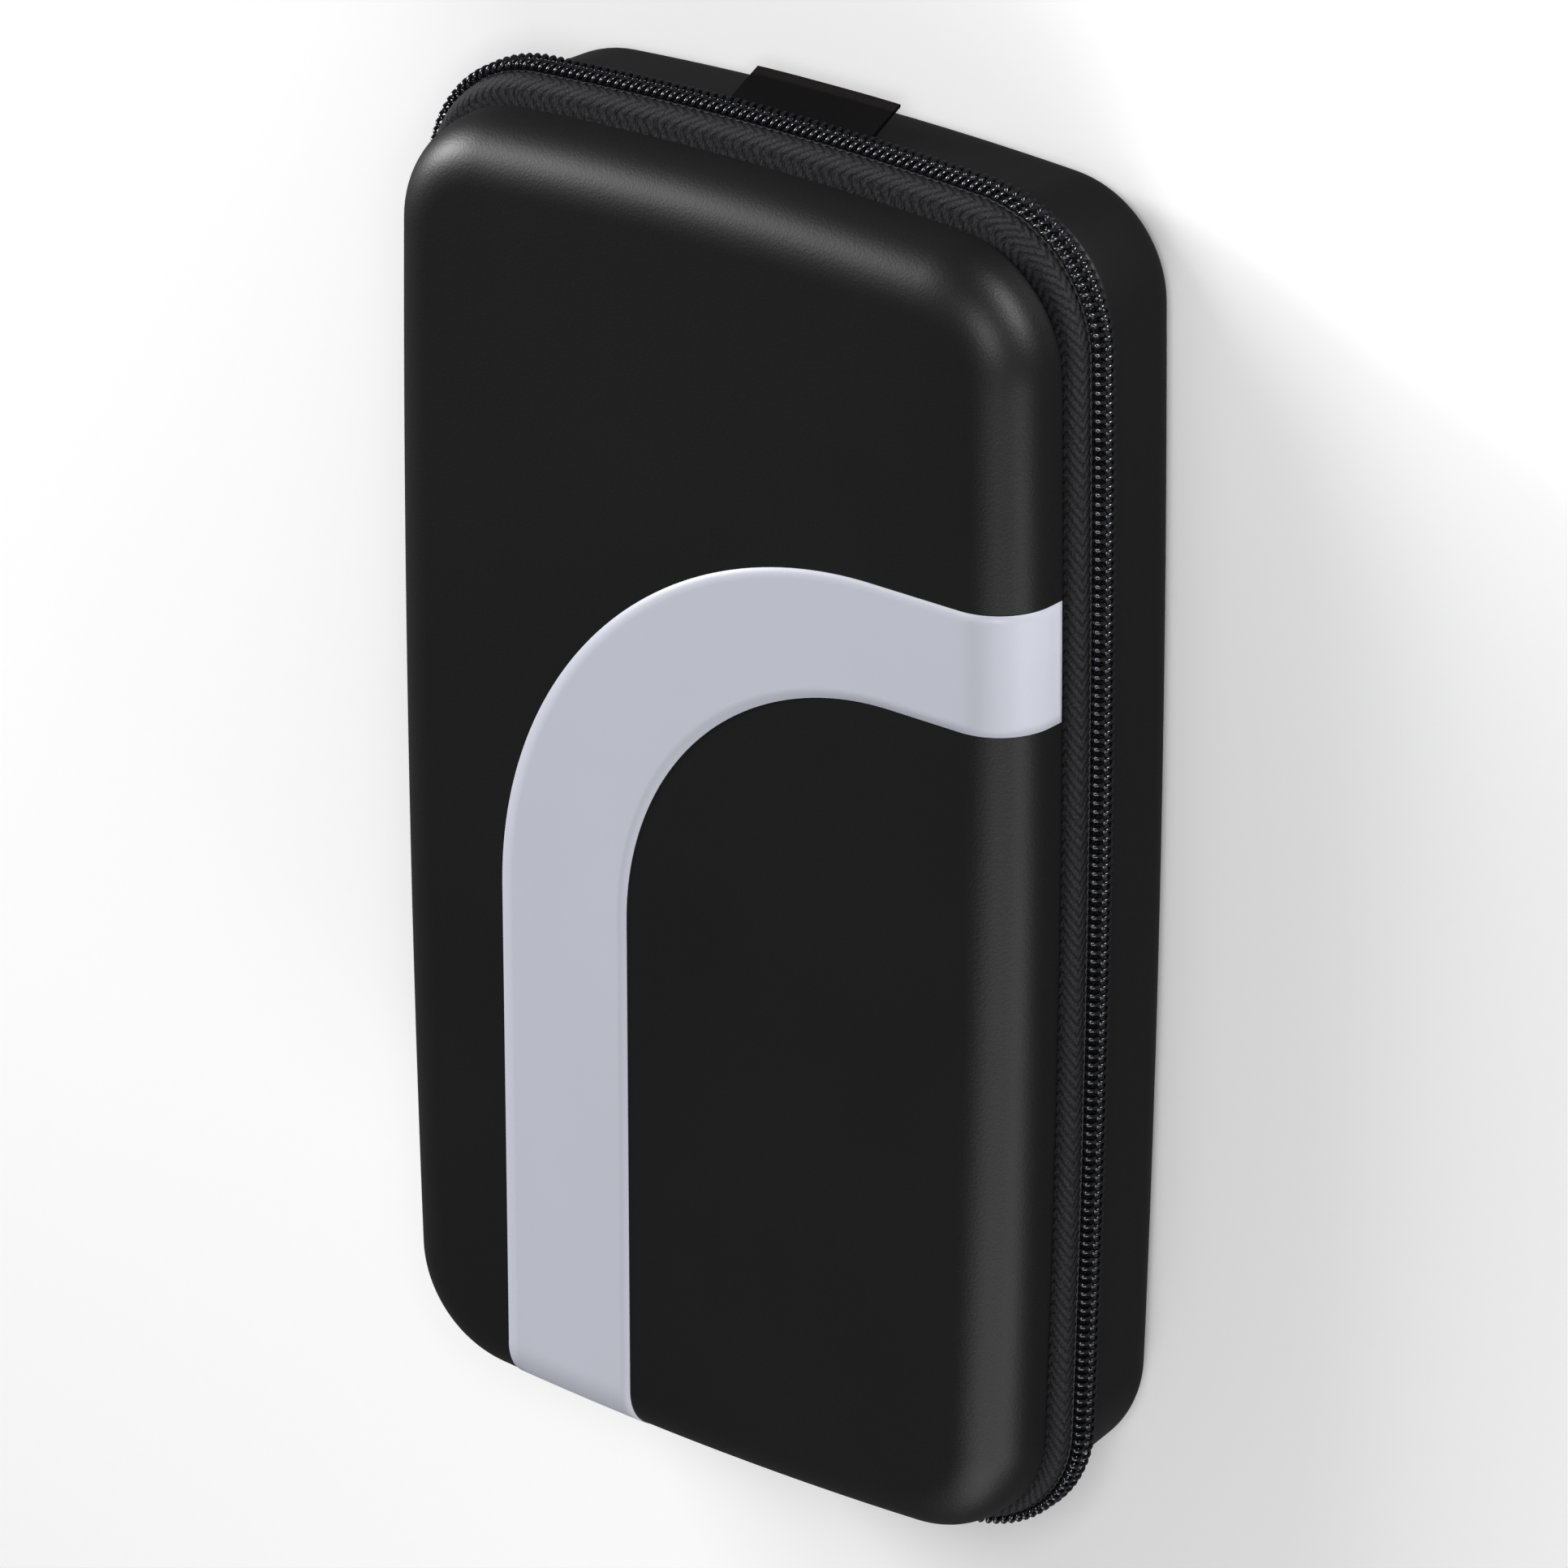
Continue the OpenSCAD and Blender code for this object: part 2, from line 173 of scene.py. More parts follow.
def add_piece(name, mesh, finishes, slots=None, sharp=60):
    """An object from points, faces and UVs, smooth where it turns by less than sharp."""
    points, faces, uvs = mesh
    data = bpy.data.meshes.new(name)
    data.from_pydata(np.asarray(points, float).tolist(), [], faces)
    for finish in finishes:
        data.materials.append(finish_of(finish))
    if slots is not None:
        data.polygons.foreach_set("material_index", slots)
    if uvs is not None:
        layer = data.uv_layers.new(name="UVMap")
        layer.data.foreach_set("uv", np.asarray(uvs, np.float32).ravel())
    work = bmesh.new()
    work.from_mesh(data)
    bmesh.ops.recalc_face_normals(work, faces=work.faces)
    work.to_mesh(data)
    work.free()
    data.shade_smooth()
    data.set_sharp_from_angle(angle=math.radians(sharp))
    return link(name, data)


def link(name, data):
    """A new object with this data, in the scene."""
    thing = bpy.data.objects.new(name, data)
    bpy.context.scene.collection.objects.link(thing)
    return thing


def dress(piece, node=None, body=None):
    """Says what a piece rides on and stands for. With no body, its placement is baked into
    its points.
    """
    if body:
        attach(piece, body)
    else:
        bend_at_hinge(piece)
    if node:
        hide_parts(node)
    return piece


def bend_at_hinge(piece):
    """Bakes the placement of a piece on the left side, between the rear and the lid, into
    its points.
    """
    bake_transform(piece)


def unit(vectors):
    """Rows of vectors at length 1."""
    return vectors / np.linalg.norm(vectors, axis=1)[:, None]


def run_along(points):
    """Each point's distance from the first one, along them all."""
    steps = np.linalg.norm(np.diff(points, axis=0), axis=1)
    return np.concatenate([[0], np.cumsum(steps)])


def smooth(t):
    """A soft step from 0 to 1."""
    t = min(1.0, max(0.0, t))
    return t * t * (3 - 2 * t)


def arc(centre, radius, start, end, steps):
    """Points of an arc between two angles in degrees."""
    turn = np.radians(np.linspace(start, end, steps + 1))
    return [
        (centre[0] + radius * math.cos(a), centre[1] + radius * math.sin(a)) for a in turn
    ]


def line(a, b, steps):
    """Points from a towards b, without b."""
    return [
        (a[0] + (b[0] - a[0]) * i / steps, a[1] + (b[1] - a[1]) * i / steps)
        for i in range(steps)
    ]


def rectangle(left, right, low, high):
    """Corners of a plan's rectangle."""
    return [(left, low), (right, low), (right, high), (left, high)]


def thicken(points, thickness):
    """Closed outline of a strip whose middle follows points."""
    p = np.asarray(points, float)
    along = unit(np.gradient(p, axis=0))
    side = np.stack([-along[:, 1], along[:, 0]], 1) * thickness / 2
    return np.concatenate([p + side, (p - side)[::-1]])


def skin_over(along, across, ring=False, open_profile=False):
    """Faces and UVs over stations of profile points, with caps on ends left open.

    along is the stations' distance, a ring's first one again at its end, and across the
    profile points' distance, with the first one again at its end.
    """
    count = len(across) - 1
    stations = len(along) - (1 if ring else 0)
    faces, uvs = [], []
    for i in range(len(along) - 1):
        a, b = i * count, (i + 1) % stations * count
        for j in range(count - (1 if open_profile else 0)):
            k = (j + 1) % count
            faces.append((a + j, b + j, b + k, a + k))
            s, e, v, w = along[i], along[i + 1], across[j], across[j + 1]
            uvs += [(s, v), (e, v), (e, w), (s, w)]
    if not ring and not open_profile:
        for i in (0, stations - 1):
            faces.append(tuple(range(i * count, (i + 1) * count)))
            uvs += [(along[i], v) for v in across[:-1]]
    return faces, uvs


class Outline:
    """The case's plan: slightly bowed sides and ends that meet in round corners.

    Every station has a base point and an outward direction, so that base + reach * out
    lies on the outline moved to that reach. The reach at the shells' rims is the corner's
    radius. The top end can stay back by short.
    """

    def __init__(self, sizes, short=0.0):
        self.short = short
        self.corner = sizes.corner
        self.under_coil = 1.1 * sizes.corner  # the reach at which a path is measured
        self.side = sizes.side_bow
        self.end = sizes.end_bow
        self.side_shift = self.side - sizes.half_width
        self.end_shift = self.end - sizes.half_length
        x, y = sizes.half_width - self.corner, sizes.half_length - self.corner
        for _ in range(30):
            x, y = (
                math.sqrt((self.side - self.corner) ** 2 - y**2) - self.side_shift,
                math.sqrt((self.end - self.corner) ** 2 - x**2) - self.end_shift,
            )
        self.corner_at = (x, y)
        self.side_turn = math.asin(y / (self.side - self.corner))
        self.end_turn = math.asin(x / (self.end - self.corner))

    def arcs(self):
        """Each stretch's centre, base radius and angles, from the right, turning left."""
        x, y = self.corner_at
        a, b, quarter = self.side_turn, self.end_turn, math.pi / 2
        side, end = self.side - self.corner, self.end - self.corner
        return [
            ((-self.side_shift, 0), side, -a, a),
            ((x, y), 0, a, quarter - b),
            ((0, -self.end_shift), end, quarter - b, quarter + b),
            ((-x, y), 0, quarter + b, 2 * quarter - a),
            ((self.side_shift, 0), side, 2 * quarter - a, 2 * quarter + a),
            ((-x, -y), 0, 2 * quarter + a, 3 * quarter - b),
            ((0, self.end_shift), end, 3 * quarter - b, 3 * quarter + b),
            ((x, -y), 0, 3 * quarter + b, 4 * quarter - a),
        ]

    def walk(self, stretches, step):
        """Stations along stretches of (arc number, from angle, to angle), each once."""
        base, out = [], []
        for number, start, end in stretches:
            centre, radius, first, last = self.arcs()[number]
            start = first if start is None else start
            end = last if end is None else end
            run = abs(end - start) * (radius + self.corner)
            # a corner takes stations at 1.2 mm at most
            count = max(2, math.ceil(run / (step if radius else min(step, 1.2 * MM))))
            for t in np.linspace(start, end, count + 1)[(1 if base else 0) :]:
                out.append((math.cos(t), math.sin(t)))
                base.append([c + radius * o for c, o in zip(centre, out[-1])])
        return self.measured(np.array(base), np.array(out))

    def measured(self, base, out):
        """The stations with their distance along the path, as measured under the coil."""
        base[:, 1] -= self.short * np.clip(base[:, 1] / self.corner_at[1], 0, 1)
        return base, out, run_along(base + self.under_coil * out)

    def ring(self, step=0.004):
        """The whole way round, its last station the first one again."""
        return self.walk([(n, None, None) for n in range(8)], step)

    def left_angle(self, y):
        """The angle on the left side's arc that lies at this height."""
        return math.pi - math.asin(y / self.side)

    def from_left(self, low, high, step=0.003):
        """All round from y = low on the left side, by the right, to y = high on it."""
        stretches = [(4, self.left_angle(low), None)]
        stretches += [(n, None, None) for n in (5, 6, 7, 0, 1, 2, 3)]
        return self.walk(stretches + [(4, None, self.left_angle(high))], step)

    def on_left(self, top, bottom, step=0.002):
        """Down the left side from y = top to y = bottom."""
        return self.walk([(4, self.left_angle(top), self.left_angle(bottom))], step)


def sweep(path, profile, ring=False, open_profile=False):
    """Runs profile points (reach, height) along a path. Gives points, faces and UVs.

    The UV is the distance along the path and round the profile, in metres. The profile is
    one list for all stations, or one for each.
    """
    base, out, along = path
    stations = len(along) - (1 if ring else 0)
    profile = np.asarray(profile, float)
    profile = np.broadcast_to(profile, (len(along),) + profile.shape[-2:])
    points = np.empty((stations, profile.shape[1], 3))
    points[..., :2] = (
        base[:stations, None] + profile[:stations, :, :1] * out[:stations, None]
    )
    points[..., 2] = profile[:stations, :, 1]
    across = run_along(np.concatenate([profile[0], profile[0][:1]]))
    return points.reshape(-1, 3), *skin_over(along, across, ring, open_profile)


def joined(*parts):
    """Several (points, faces, uvs) as one, and which part each face comes from."""
    points, faces, uvs, source, start = [], [], [], [], 0
    for n, (p, f, u) in enumerate(parts):
        points.append(np.asarray(p, float))
        faces += [tuple(start + i for i in face) for face in f]
        uvs += list(u)
        source += [n] * len(f)
        start += len(p)
    return (np.concatenate(points), faces, uvs), source


def tube(centres, side, radius, sides):
    """A round tube along centres, with side the direction of its first seam."""
    p = np.asarray(centres, float)
    side = np.broadcast_to(np.asarray(side, float), p.shape)
    along = unit(np.gradient(p, axis=0))
    side = unit(side - (side * along).sum(1)[:, None] * along)
    other = np.cross(along, side)
    turn = np.linspace(0, 2 * math.pi, sides, endpoint=False)
    radius = np.broadcast_to(radius, len(p))[:, None, None]
    ring = (
        np.cos(turn)[None, :, None] * side[:, None]
        + np.sin(turn)[None, :, None] * other[:, None]
    )
    points = (p[:, None] + radius * ring).reshape(-1, 3)
    return points, *skin_over(run_along(p), np.arange(sides + 1))


def at_run(path, run):
    """Base points and outward directions at these distances along a path."""
    base, out, along = path
    b, o = (
        np.stack([np.interp(run, along, values[:, n]) for n in (0, 1)], 1)
        for values in (base, out)
    )
    return b, unit(o)


def flat_plate(outline, low, high, place, inset=0.0, depth=0.0):
    """A plate from a plan outline, both faces sunk by depth inside a rim inset wide.

    place turns plan points and a height into points of the scene.
    """
    plan = np.asarray(outline, float)
    count = len(plan)
    rows = [(plan, low), (plan, high)]
    if inset:
        edge = unit(np.roll(plan, -1, 0) - np.roll(plan, 1, 0))
        inward = np.stack([-edge[:, 1], edge[:, 0]], 1)
        if ((plan.mean(0) - plan) * inward).sum() < 0:
            inward = -inward
        inner, floor = plan + inset * inward, plan + (inset + depth) * inward
        rows = [(floor, low + depth), (inner, low), *rows, (inner, high)]
        rows += [(floor, high - depth)]
    points = np.concatenate([place(p, h) for p, h in rows])
    faces = [
        (r * count + i, r * count + (i + 1) % count,
         (r + 1) * count + (i + 1) % count, (r + 1) * count + i)
        for r in range(len(rows) - 1)
        for i in range(count)
    ]
    faces += [tuple(range(count)), tuple(range((len(rows) - 1) * count, len(rows) * count))]
    return points, faces, [(0, 0)] * sum(len(f) for f in faces)


def soften(piece, width, segments=2):
    """Rounds a piece's edges and keeps its flat faces flat."""
    bevel = piece.modifiers.new("Rounded edges", "BEVEL")
    bevel.width = width
    bevel.segments = segments
    bevel.limit_method = "ANGLE"
    bevel.angle_limit = math.radians(30)
    bevel.harden_normals = True


def give_thickness(piece, name, thickness, offset):
    """Makes a surface a sheet of this thickness."""
    solid = piece.modifiers.new(name, "SOLIDIFY")
    solid.thickness = thickness
    solid.offset = offset


# Materials -------------------------------------------------------------------------


def add_node(tree, kind, inputs=None, **settings):
    """Adds a node, sets its settings, and fills its inputs with values or links."""
    node = tree.nodes.new(kind)
    for name, value in settings.items():
        setattr(node, name, value)
    for name, value in (inputs or {}).items():
        if isinstance(value, bpy.types.NodeSocket):
            tree.links.new(value, node.inputs[name])
        else:
            node.inputs[name].default_value = value
    return node


def unrolled(tree):
    """The piece's UV, in metres, and its two parts."""
    uv = add_node(tree, "ShaderNodeUVMap", uv_map="UVMap").outputs["UV"]
    split = add_node(tree, "ShaderNodeSeparateXYZ", {"Vector": uv})
    return uv, split.outputs["X"], split.outputs["Y"]


def noise(tree, place, size, detail, roughness=0.5):
    """Noise with features of this size in metres."""
    inputs = {"Vector": place, "Scale": 1 / size, "Detail": detail, "Roughness": roughness}
    return add_node(tree, "ShaderNodeTexNoise", inputs).outputs["Fac"]


def calc(tree, operation, *values):
    """One step of arithmetic on values or links."""
    node = add_node(tree, "ShaderNodeMath", dict(enumerate(values)), operation=operation)
    return node.outputs["Value"]


def remap(tree, value, start, end, low=0.0, high=1.0):
    """A value's range from start to end, spread from low to high."""
    inputs = {"Value": value, "From Min": start, "From Max": end, "To Min": low}
    inputs["To Max"] = high
    return add_node(tree, "ShaderNodeMapRange", inputs).outputs["Result"]


def mixed(tree, factor, a, b):
    """A colour between a and b."""
    inputs = {"Factor": factor, "A": a, "B": b}
    return add_node(tree, "ShaderNodeMix", inputs, data_type="RGBA").outputs["Result"]


def tinted(tree, factor, base, dark, light):
    """The base colour from dark times to light times as bright."""
    a, b = (
        tuple(min(1.0, c * times) for c in base[:3]) + (1.0,) for times in (dark, light)
    )
    return mixed(tree, factor, a, b)


def bumped(tree, height, strength, distance, **normal):
    """The normal over this height, on top of another bump's Normal."""
    inputs = {"Height": height, "Strength": strength, "Distance": distance, **normal}
    return add_node(tree, "ShaderNodeBump", inputs).outputs["Normal"]


def skin_finish(tree, place, colours):
    """Polyurethane skin heat-pressed over foam: satin and soft to the touch, with the
    press's fine grain and the slight unevenness of the foam under it."""
    # the grain's cells are about 0.35 mm across
    grain = add_node(
        tree, "ShaderNodeTexVoronoi", {"Vector": place, "Scale": 1 / 0.00035},
        feature="SMOOTH_F1",
    ).outputs["Distance"]
    fine = noise(tree, place, 0.00022, 3.0, 0.6)
    # the foam pushes back unevenly over a few centimetres
    foam = noise(tree, place, 0.03, 2.0)
    cells = bumped(tree, grain, 0.35, 0.00005, Normal=bumped(tree, foam, 0.5, 0.0003))
    return {
        "Base Color": tinted(tree, fine, colours.skin, 0.86, 1.14),
        "Roughness": remap(tree, foam, 0.0, 1.0, 0.41, 0.49),
        "Normal": bumped(tree, fine, 0.4, 0.00004, Normal=cells),
    }


def film_finish(tree, place, colours):
    """Satin TPU film, heat-pressed on the skin: an even pale silver that takes a trace of
    the skin's grain."""
    grain = noise(tree, place, 0.0003, 3.0, 0.6)
    cloud = noise(tree, place, 0.02, 2.0)
    return {
        "Base Color": tinted(tree, cloud, colours.film, 0.97, 1.03),
        "Roughness": remap(tree, grain, 0.0, 1.0, 0.38, 0.48),
        "Normal": bumped(tree, grain, 0.25, 0.00004),
    }


def lining_finish(tree, place, colours):
    """Brushed tricot laminated inside the shells: matt, with a short soft pile."""
    # the pile's tufts are about 0.4 mm apart and lie over in patches of some 6 mm
    pile = noise(tree, place, 0.0004, 4.0, 0.7)
    lay = noise(tree, place, 0.006, 3.0)
    level = remap(tree, calc(tree, "MULTIPLY", pile, lay), 0.1, 0.45)
    return {
        "Base Color": tinted(tree, level, colours.lining, 0.65, 1.5),
        "Normal": bumped(tree, pile, 0.7, 0.0002),
    }


def woven(base, rib, band, relief):
    """A finish of cloth whose ribs slant one way and back, one band wide each way.

    base names the cloth's colour. rib is the spacing of the ribs and band the width of a
    herringbone's column, or 0 for ribs straight across. relief is the ribs' height. A
    column ends 0.6 mm short of each whole band, so that one comes out along the middle of
    the tape that shows.
    """

    def finish(tree, place, colours):
        uv, run, across = unrolled(tree)
        if band:
            zigzag = calc(tree, "PINGPONG", calc(tree, "ADD", across, 0.0006), band)
            run = calc(tree, "MULTIPLY_ADD", zigzag, 1.3, run)
        # round ribs with a narrow groove between them; they set the relief and also the
        # colour, as painted shade in the grooves and painted light on the crests
        wave = calc(tree, "SINE", calc(tree, "MULTIPLY", run, math.pi / rib))
        ribs = calc(tree, "ABSOLUTE", wave)
        # the mixed dark and pale fibres of the threads, in flecks of about 0.35 mm
        fibres = noise(tree, uv, 0.00035, 2.0, 0.7)
        level = calc(tree, "MULTIPLY_ADD", ribs, 0.3, fibres)
        # the colour: the fibres' own flecks plus the ribs' painted shade and light
        shade = remap(tree, level, 0.56, 0.94)
        return {
            "Base Color": tinted(tree, shade, getattr(colours, base), 0.15, 3.0),
            "Normal": bumped(tree, level, 0.8, relief),
        }

    return finish


def coil_finish(tree, place, colours):
    """Nylon monofilament, coiled and heat-set: smooth, so each tooth has its own glint."""
    wear = noise(tree, place, 0.0008, 2.0)
    return {
        "Base Color": tinted(tree, wear, colours.coil, 0.8, 1.3),
        "Roughness": remap(tree, wear, 0.0, 1.0, 0.12, 0.22),
    }


def thread_finish(tree, place, colours):
    """Twisted polyester sewing thread: two plies, one turn every 0.5 mm, a low sheen."""
    turn = calc(tree, "MULTIPLY", unrolled(tree)[1], 2 * math.pi / 0.0005)
    # each turn of the twist is painted darker and lighter: painted shade and light on the
    # rounded plies
    level = remap(tree, calc(tree, "SINE", turn), -1.0, 1.0)
    return {"Base Color": tinted(tree, level, colours.tape, 0.6, 1.3)}


def satin_finish(tree, place, colours):
    """Woven satin ribbon: a smooth dark face with a paler, coarser woven fold edge."""
    uv, across, from_fold = unrolled(tree)
    # warp threads 0.12 mm apart, drawn at 0.3 mm so that they show
    wave = calc(tree, "SINE", calc(tree, "MULTIPLY", across, 2 * math.pi / 0.0003))
    # the fold edge is where the ribbon's own length, its V, is near 0
    fold = remap(tree, from_fold, 0.0016, 0.0011)
    speck = calc(tree, "MULTIPLY", fold, noise(tree, uv, 0.0004, 3.0))
    return {
        "Base Color": mixed(tree, speck, colours.label, colours.fold),
        "Normal": bumped(tree, wave, 0.3, 0.00003),
    }


def enamel_finish(tree, place, colours):
    """Die-cast zinc under a baked black enamel: glossy, its tone and gloss varying a little
    over the surface.
    """
    skin = noise(tree, place, 0.0006, 2.0)
    return {
        "Base Color": tinted(tree, skin, colours.enamel, 0.85, 1.2),
        "Roughness": remap(tree, skin, 0.0, 1.0, 0.24, 0.36),
        "Normal": bumped(tree, skin, 0.2, 0.00005),
    }


def net_finish(tree, place, colours):
    """Warp-knitted polyester net: holes 1.5 mm apart between soft yarn bars."""
    cells = add_node(
        tree, "ShaderNodeVectorMath",
        {0: place, 1: (1 / 0.0015, 1 / 0.0015, 0.0)}, operation="MULTIPLY",
    )
    holes = add_node(
        tree, "ShaderNodeTexVoronoi",
        {"Vector": cells.outputs["Vector"], "Scale": 1.0, "Randomness": 0.12},
        voronoi_dimensions="2D",
    ).outputs["Distance"]
    yarn = noise(tree, place, 0.0003, 2.0)
    return {
        "Base Color": tinted(tree, yarn, colours.tape, 0.7, 1.5),
        "Alpha": remap(tree, holes, 0.24, 0.32),
        "Normal": bumped(tree, holes, 0.8, 0.0004),
    }


def paper_finish(tree, place, colours):
    """Matt white paper, rolled out as a sweep."""
    tooth = noise(tree, place, 0.002, 3.0)
    return {"Base Color": tinted(tree, tooth, colours.floor, 0.99, 1.0)}


# each material's name and finish, with its shader's roughness, IOR and other values
MATERIALS = {
    "skin": (
        "Pressed polyurethane skin", skin_finish, 0.45, 1.5, {"Specular IOR Level": 0.37}
    ),
    "film": ("Heat-pressed satin film", film_finish, 0.42, 1.5, {}),
    "lining": (
        "Brushed tricot lining", lining_finish, 0.95, 1.5,
        {"Sheen Weight": 0.35, "Sheen Roughness": 0.5},
    ),
    # fine ribs in columns that catch a dull light
    "tape": (
        "Herringbone polyester tape", woven("tape", 0.0015, 0.0022, 0.00025),
        0.75, 1.55, {"Specular IOR Level": 0.25},
    ),
    # fine ribs straight across the band
    "binding": (
        "Grosgrain polyester binding", woven("tape", 0.0008, 0.0, 0.00015),
        0.75, 1.55, {"Specular IOR Level": 0.3},
    ),
    # a close twill that stands being folded each time the case opens
    "hinge": (
        "Twill nylon hinge cloth", woven("tape", 0.0007, 0.1, 0.0001),
        0.7, 1.53, {"Specular IOR Level": 0.3},
    ),
    # covered rubber cords, raised along the band
    "elastic": (
        "Corded knit elastic", woven("lining", 0.0011, 0.0004, 0.0002),
        0.8, 1.5, {"Sheen Weight": 0.15},
    ),
    "coil": (
        "Heat-set nylon coil", coil_finish, 0.17, 1.53,
        {"Specular IOR Level": 1.0, "Specular Tint": (0.88, 0.9, 1.0, 1.0)},
    ),
    "thread": ("Twisted polyester thread", thread_finish, 0.6, 1.55, {"Sheen Weight": 0.1}),
    "satin": ("Woven satin ribbon", satin_finish, 0.6, 1.5, {"Specular IOR Level": 0.06}),
    "enamel": (
        "Enamelled zinc", enamel_finish, 0.3, 1.5,
        {"Coat Weight": 0.4, "Coat Roughness": 0.15},
    ),
    "net": ("Warp-knitted net", net_finish, 0.8, 1.5, {"Sheen Weight": 0.15}),
    "paper": ("Matt paper sweep", paper_finish, 0.9, 1.45, {}),
}
made = {}


def finish_of(key):
    """The material of this key, made once."""
    if key not in made:
        name, finish, roughness, ior, values = MATERIALS[key]
        material = bpy.data.materials.new(name)
        material.use_nodes = True
        tree = material.node_tree
        sockets = tree.nodes["Principled BSDF"].inputs
        for socket, value in {"Roughness": roughness, "IOR": ior, **values}.items():
            sockets[socket].default_value = value
        place = add_node(tree, "ShaderNodeTexCoord").outputs["Object"]
        for socket, value in finish(tree, place, bpy.context.scene.case_colours).items():
            tree.links.new(value, sockets[socket])
        made[key] = material
    return made[key]


# Sections, as (reach, distance from the seam) ----------------------------------------


def height(sizes, side, points):
    """Makes distances from the seam heights. side is 1 for the lid, -1 for the rear."""
    p = np.asarray(points, float).copy()
    p[..., 1] = sizes.seam + side * p[..., 1]
    return p


def pan_curve(sizes, inset, depth, rounding, rim=0.0):
    """A drafted pan's surface from its rim to where the flat face starts."""
    reach = sizes.corner - inset
    slope, lean = math.sin(LEAN), math.degrees(LEAN)
    centre = (
        reach - math.tan(LEAN) * (depth - rounding) - rounding / math.cos(LEAN),
        depth - rounding,
    )
    top = (centre[0] + rounding * math.cos(LEAN), centre[1] + rounding * slope)
    points = [(reach, 0.0)]
    if rim:
        edge = (reach - rim * (1 + slope) / math.cos(LEAN), rim)
        points = arc(edge, rim, -90, lean, RIM_STEPS)
    points = points[:-1] + line(points[-1], top, 4)
    return points + arc(centre, rounding, lean, 90, 20)


def shell_profile(sizes, depth, rounding):
    """A shell's whole section, and how many of its points are on the outer skin."""
    outer = pan_curve(sizes, 0.0, depth, rounding, sizes.rim_round)[::-1]
    hem_reach = sizes.corner - sizes.rim_wall
    inner = pan_curve(
        sizes, sizes.wall, depth - sizes.wall, rounding - sizes.wall / 2
    )
    above = [p for p in inner if p[1] > sizes.hem + 0.3 * MM]
    edge = 0.4 * MM  # radius of the hem's own edge
    lip = line((hem_reach, 0.0), (hem_reach, sizes.hem - edge), 3)
    lip += arc((hem_reach - edge, sizes.hem - edge), edge, 0, 90, 3)
    points = outer + lip + above
    return [(u, s + sizes.rim_gap) for u, s in points], len(outer)


def tape_middle(sizes, edge, short=0.0):
    """Middle line of a zip tape, from the hem inside the rim to its edge by the seam."""
    inside = sizes.corner - sizes.rim_wall - 0.05 * MM - sizes.tape / 2 - short
    turn = sizes.rim_gap - 0.3 * MM
    out, roll, bend = sizes.tape_out, 1.3 * MM, 0.5 * MM
    link = turn - bend
    points = line((inside, turn + sizes.hem + 0.25 * MM), (inside, turn), 4)
    points += arc((inside + bend, turn), bend, 180, 270, 5)
    points += line(points.pop(), (out - roll, link), 2)[1:]
    # the tape bulges a little before it goes down under the coil
    points += arc((out - roll, link - roll), roll, 90, 8, 9)
    last = (out - 0.03 * MM, edge)
    points += line((out - 0.02 * MM, link - roll - 0.25 * MM), last, 4)
    return points + [last]


# Pieces ----------------------------------------------------------------------------


def build_shell(sizes, name, side, depth, rounding):
    """One laminated shell: pressed skin outside and rim, brushed lining inside."""
    path = Outline(sizes, sizes.lid_short if side > 0 else 0.0).ring()
    profile, skin_points = shell_profile(sizes, depth, rounding)
    points, faces, uvs = sweep(
        path, height(sizes, side, profile), ring=True, open_profile=True
    )
    count = len(profile)
    slots = [0 if i % (count - 1) < skin_points else 1 for i in range(len(faces))]
    stations = range(len(path[2]) - 1)
    for slot, j in enumerate((0, count - 1)):
        faces.append(tuple(i * count + j for i in stations))
        uvs += [tuple(points[i * count + j][:2]) for i in stations]
        slots.append(slot)
    return add_piece(name, (points, faces, uvs), ["skin", "lining"], slots, 50)


def stripe_line(sizes, across):
    """Points of one line along the stripe, from the lower rim to the right one.

    across is 0 on the stripe's outer edge and 1 on its inner one.
    """
    plan = Outline(sizes)
    curve = pan_curve(sizes, 0.0, sizes.lid_depth, sizes.lid_round, sizes.rim_round)
    curve = np.array(curve[RIM_STEPS:])
    flat = curve[-1, 0]
    lift = np.gradient(curve, axis=0)
    curve = curve + sizes.film * unit(np.stack([lift[:, 1], -lift[:, 0]], 1))
    z = sizes.seam + sizes.rim_gap
    top = z + curve[-1, 1]
    x, y, r = STRIPE_OUTER + (STRIPE_INNER - STRIPE_OUTER) * across
    end, side = plan.end - plan.corner, plan.side - plan.corner
    down, right = math.asin((x - r) / (end + flat)), math.asin((y + r) / (side + flat))

    def over_edge(centre, radius, out):
        """The stripe's way from the rim up on to the face."""
        base = np.array(centre) + radius * np.array(out)
        return [(*(base + u * np.array(out)), z + s) for u, s in curve]

    def on_face(points):
        """Plan points at the face's height."""
        return [(a, b, top) for a, b in points]

    lower = over_edge((0, plan.end_shift), end, (math.sin(down), -math.cos(down)))
    upper = over_edge((-plan.side_shift, 0), side, (math.cos(right), math.sin(right)))
    bend = arc((x, y), r, 180, 90, 60)
    up = on_face(line(lower[-1][:2], bend[0], 12)[1:])
    on = on_face(line(bend[-1], upper[-1][:2], 5)[1:])
    return lower + up + on_face(bend) + on + upper[::-1]


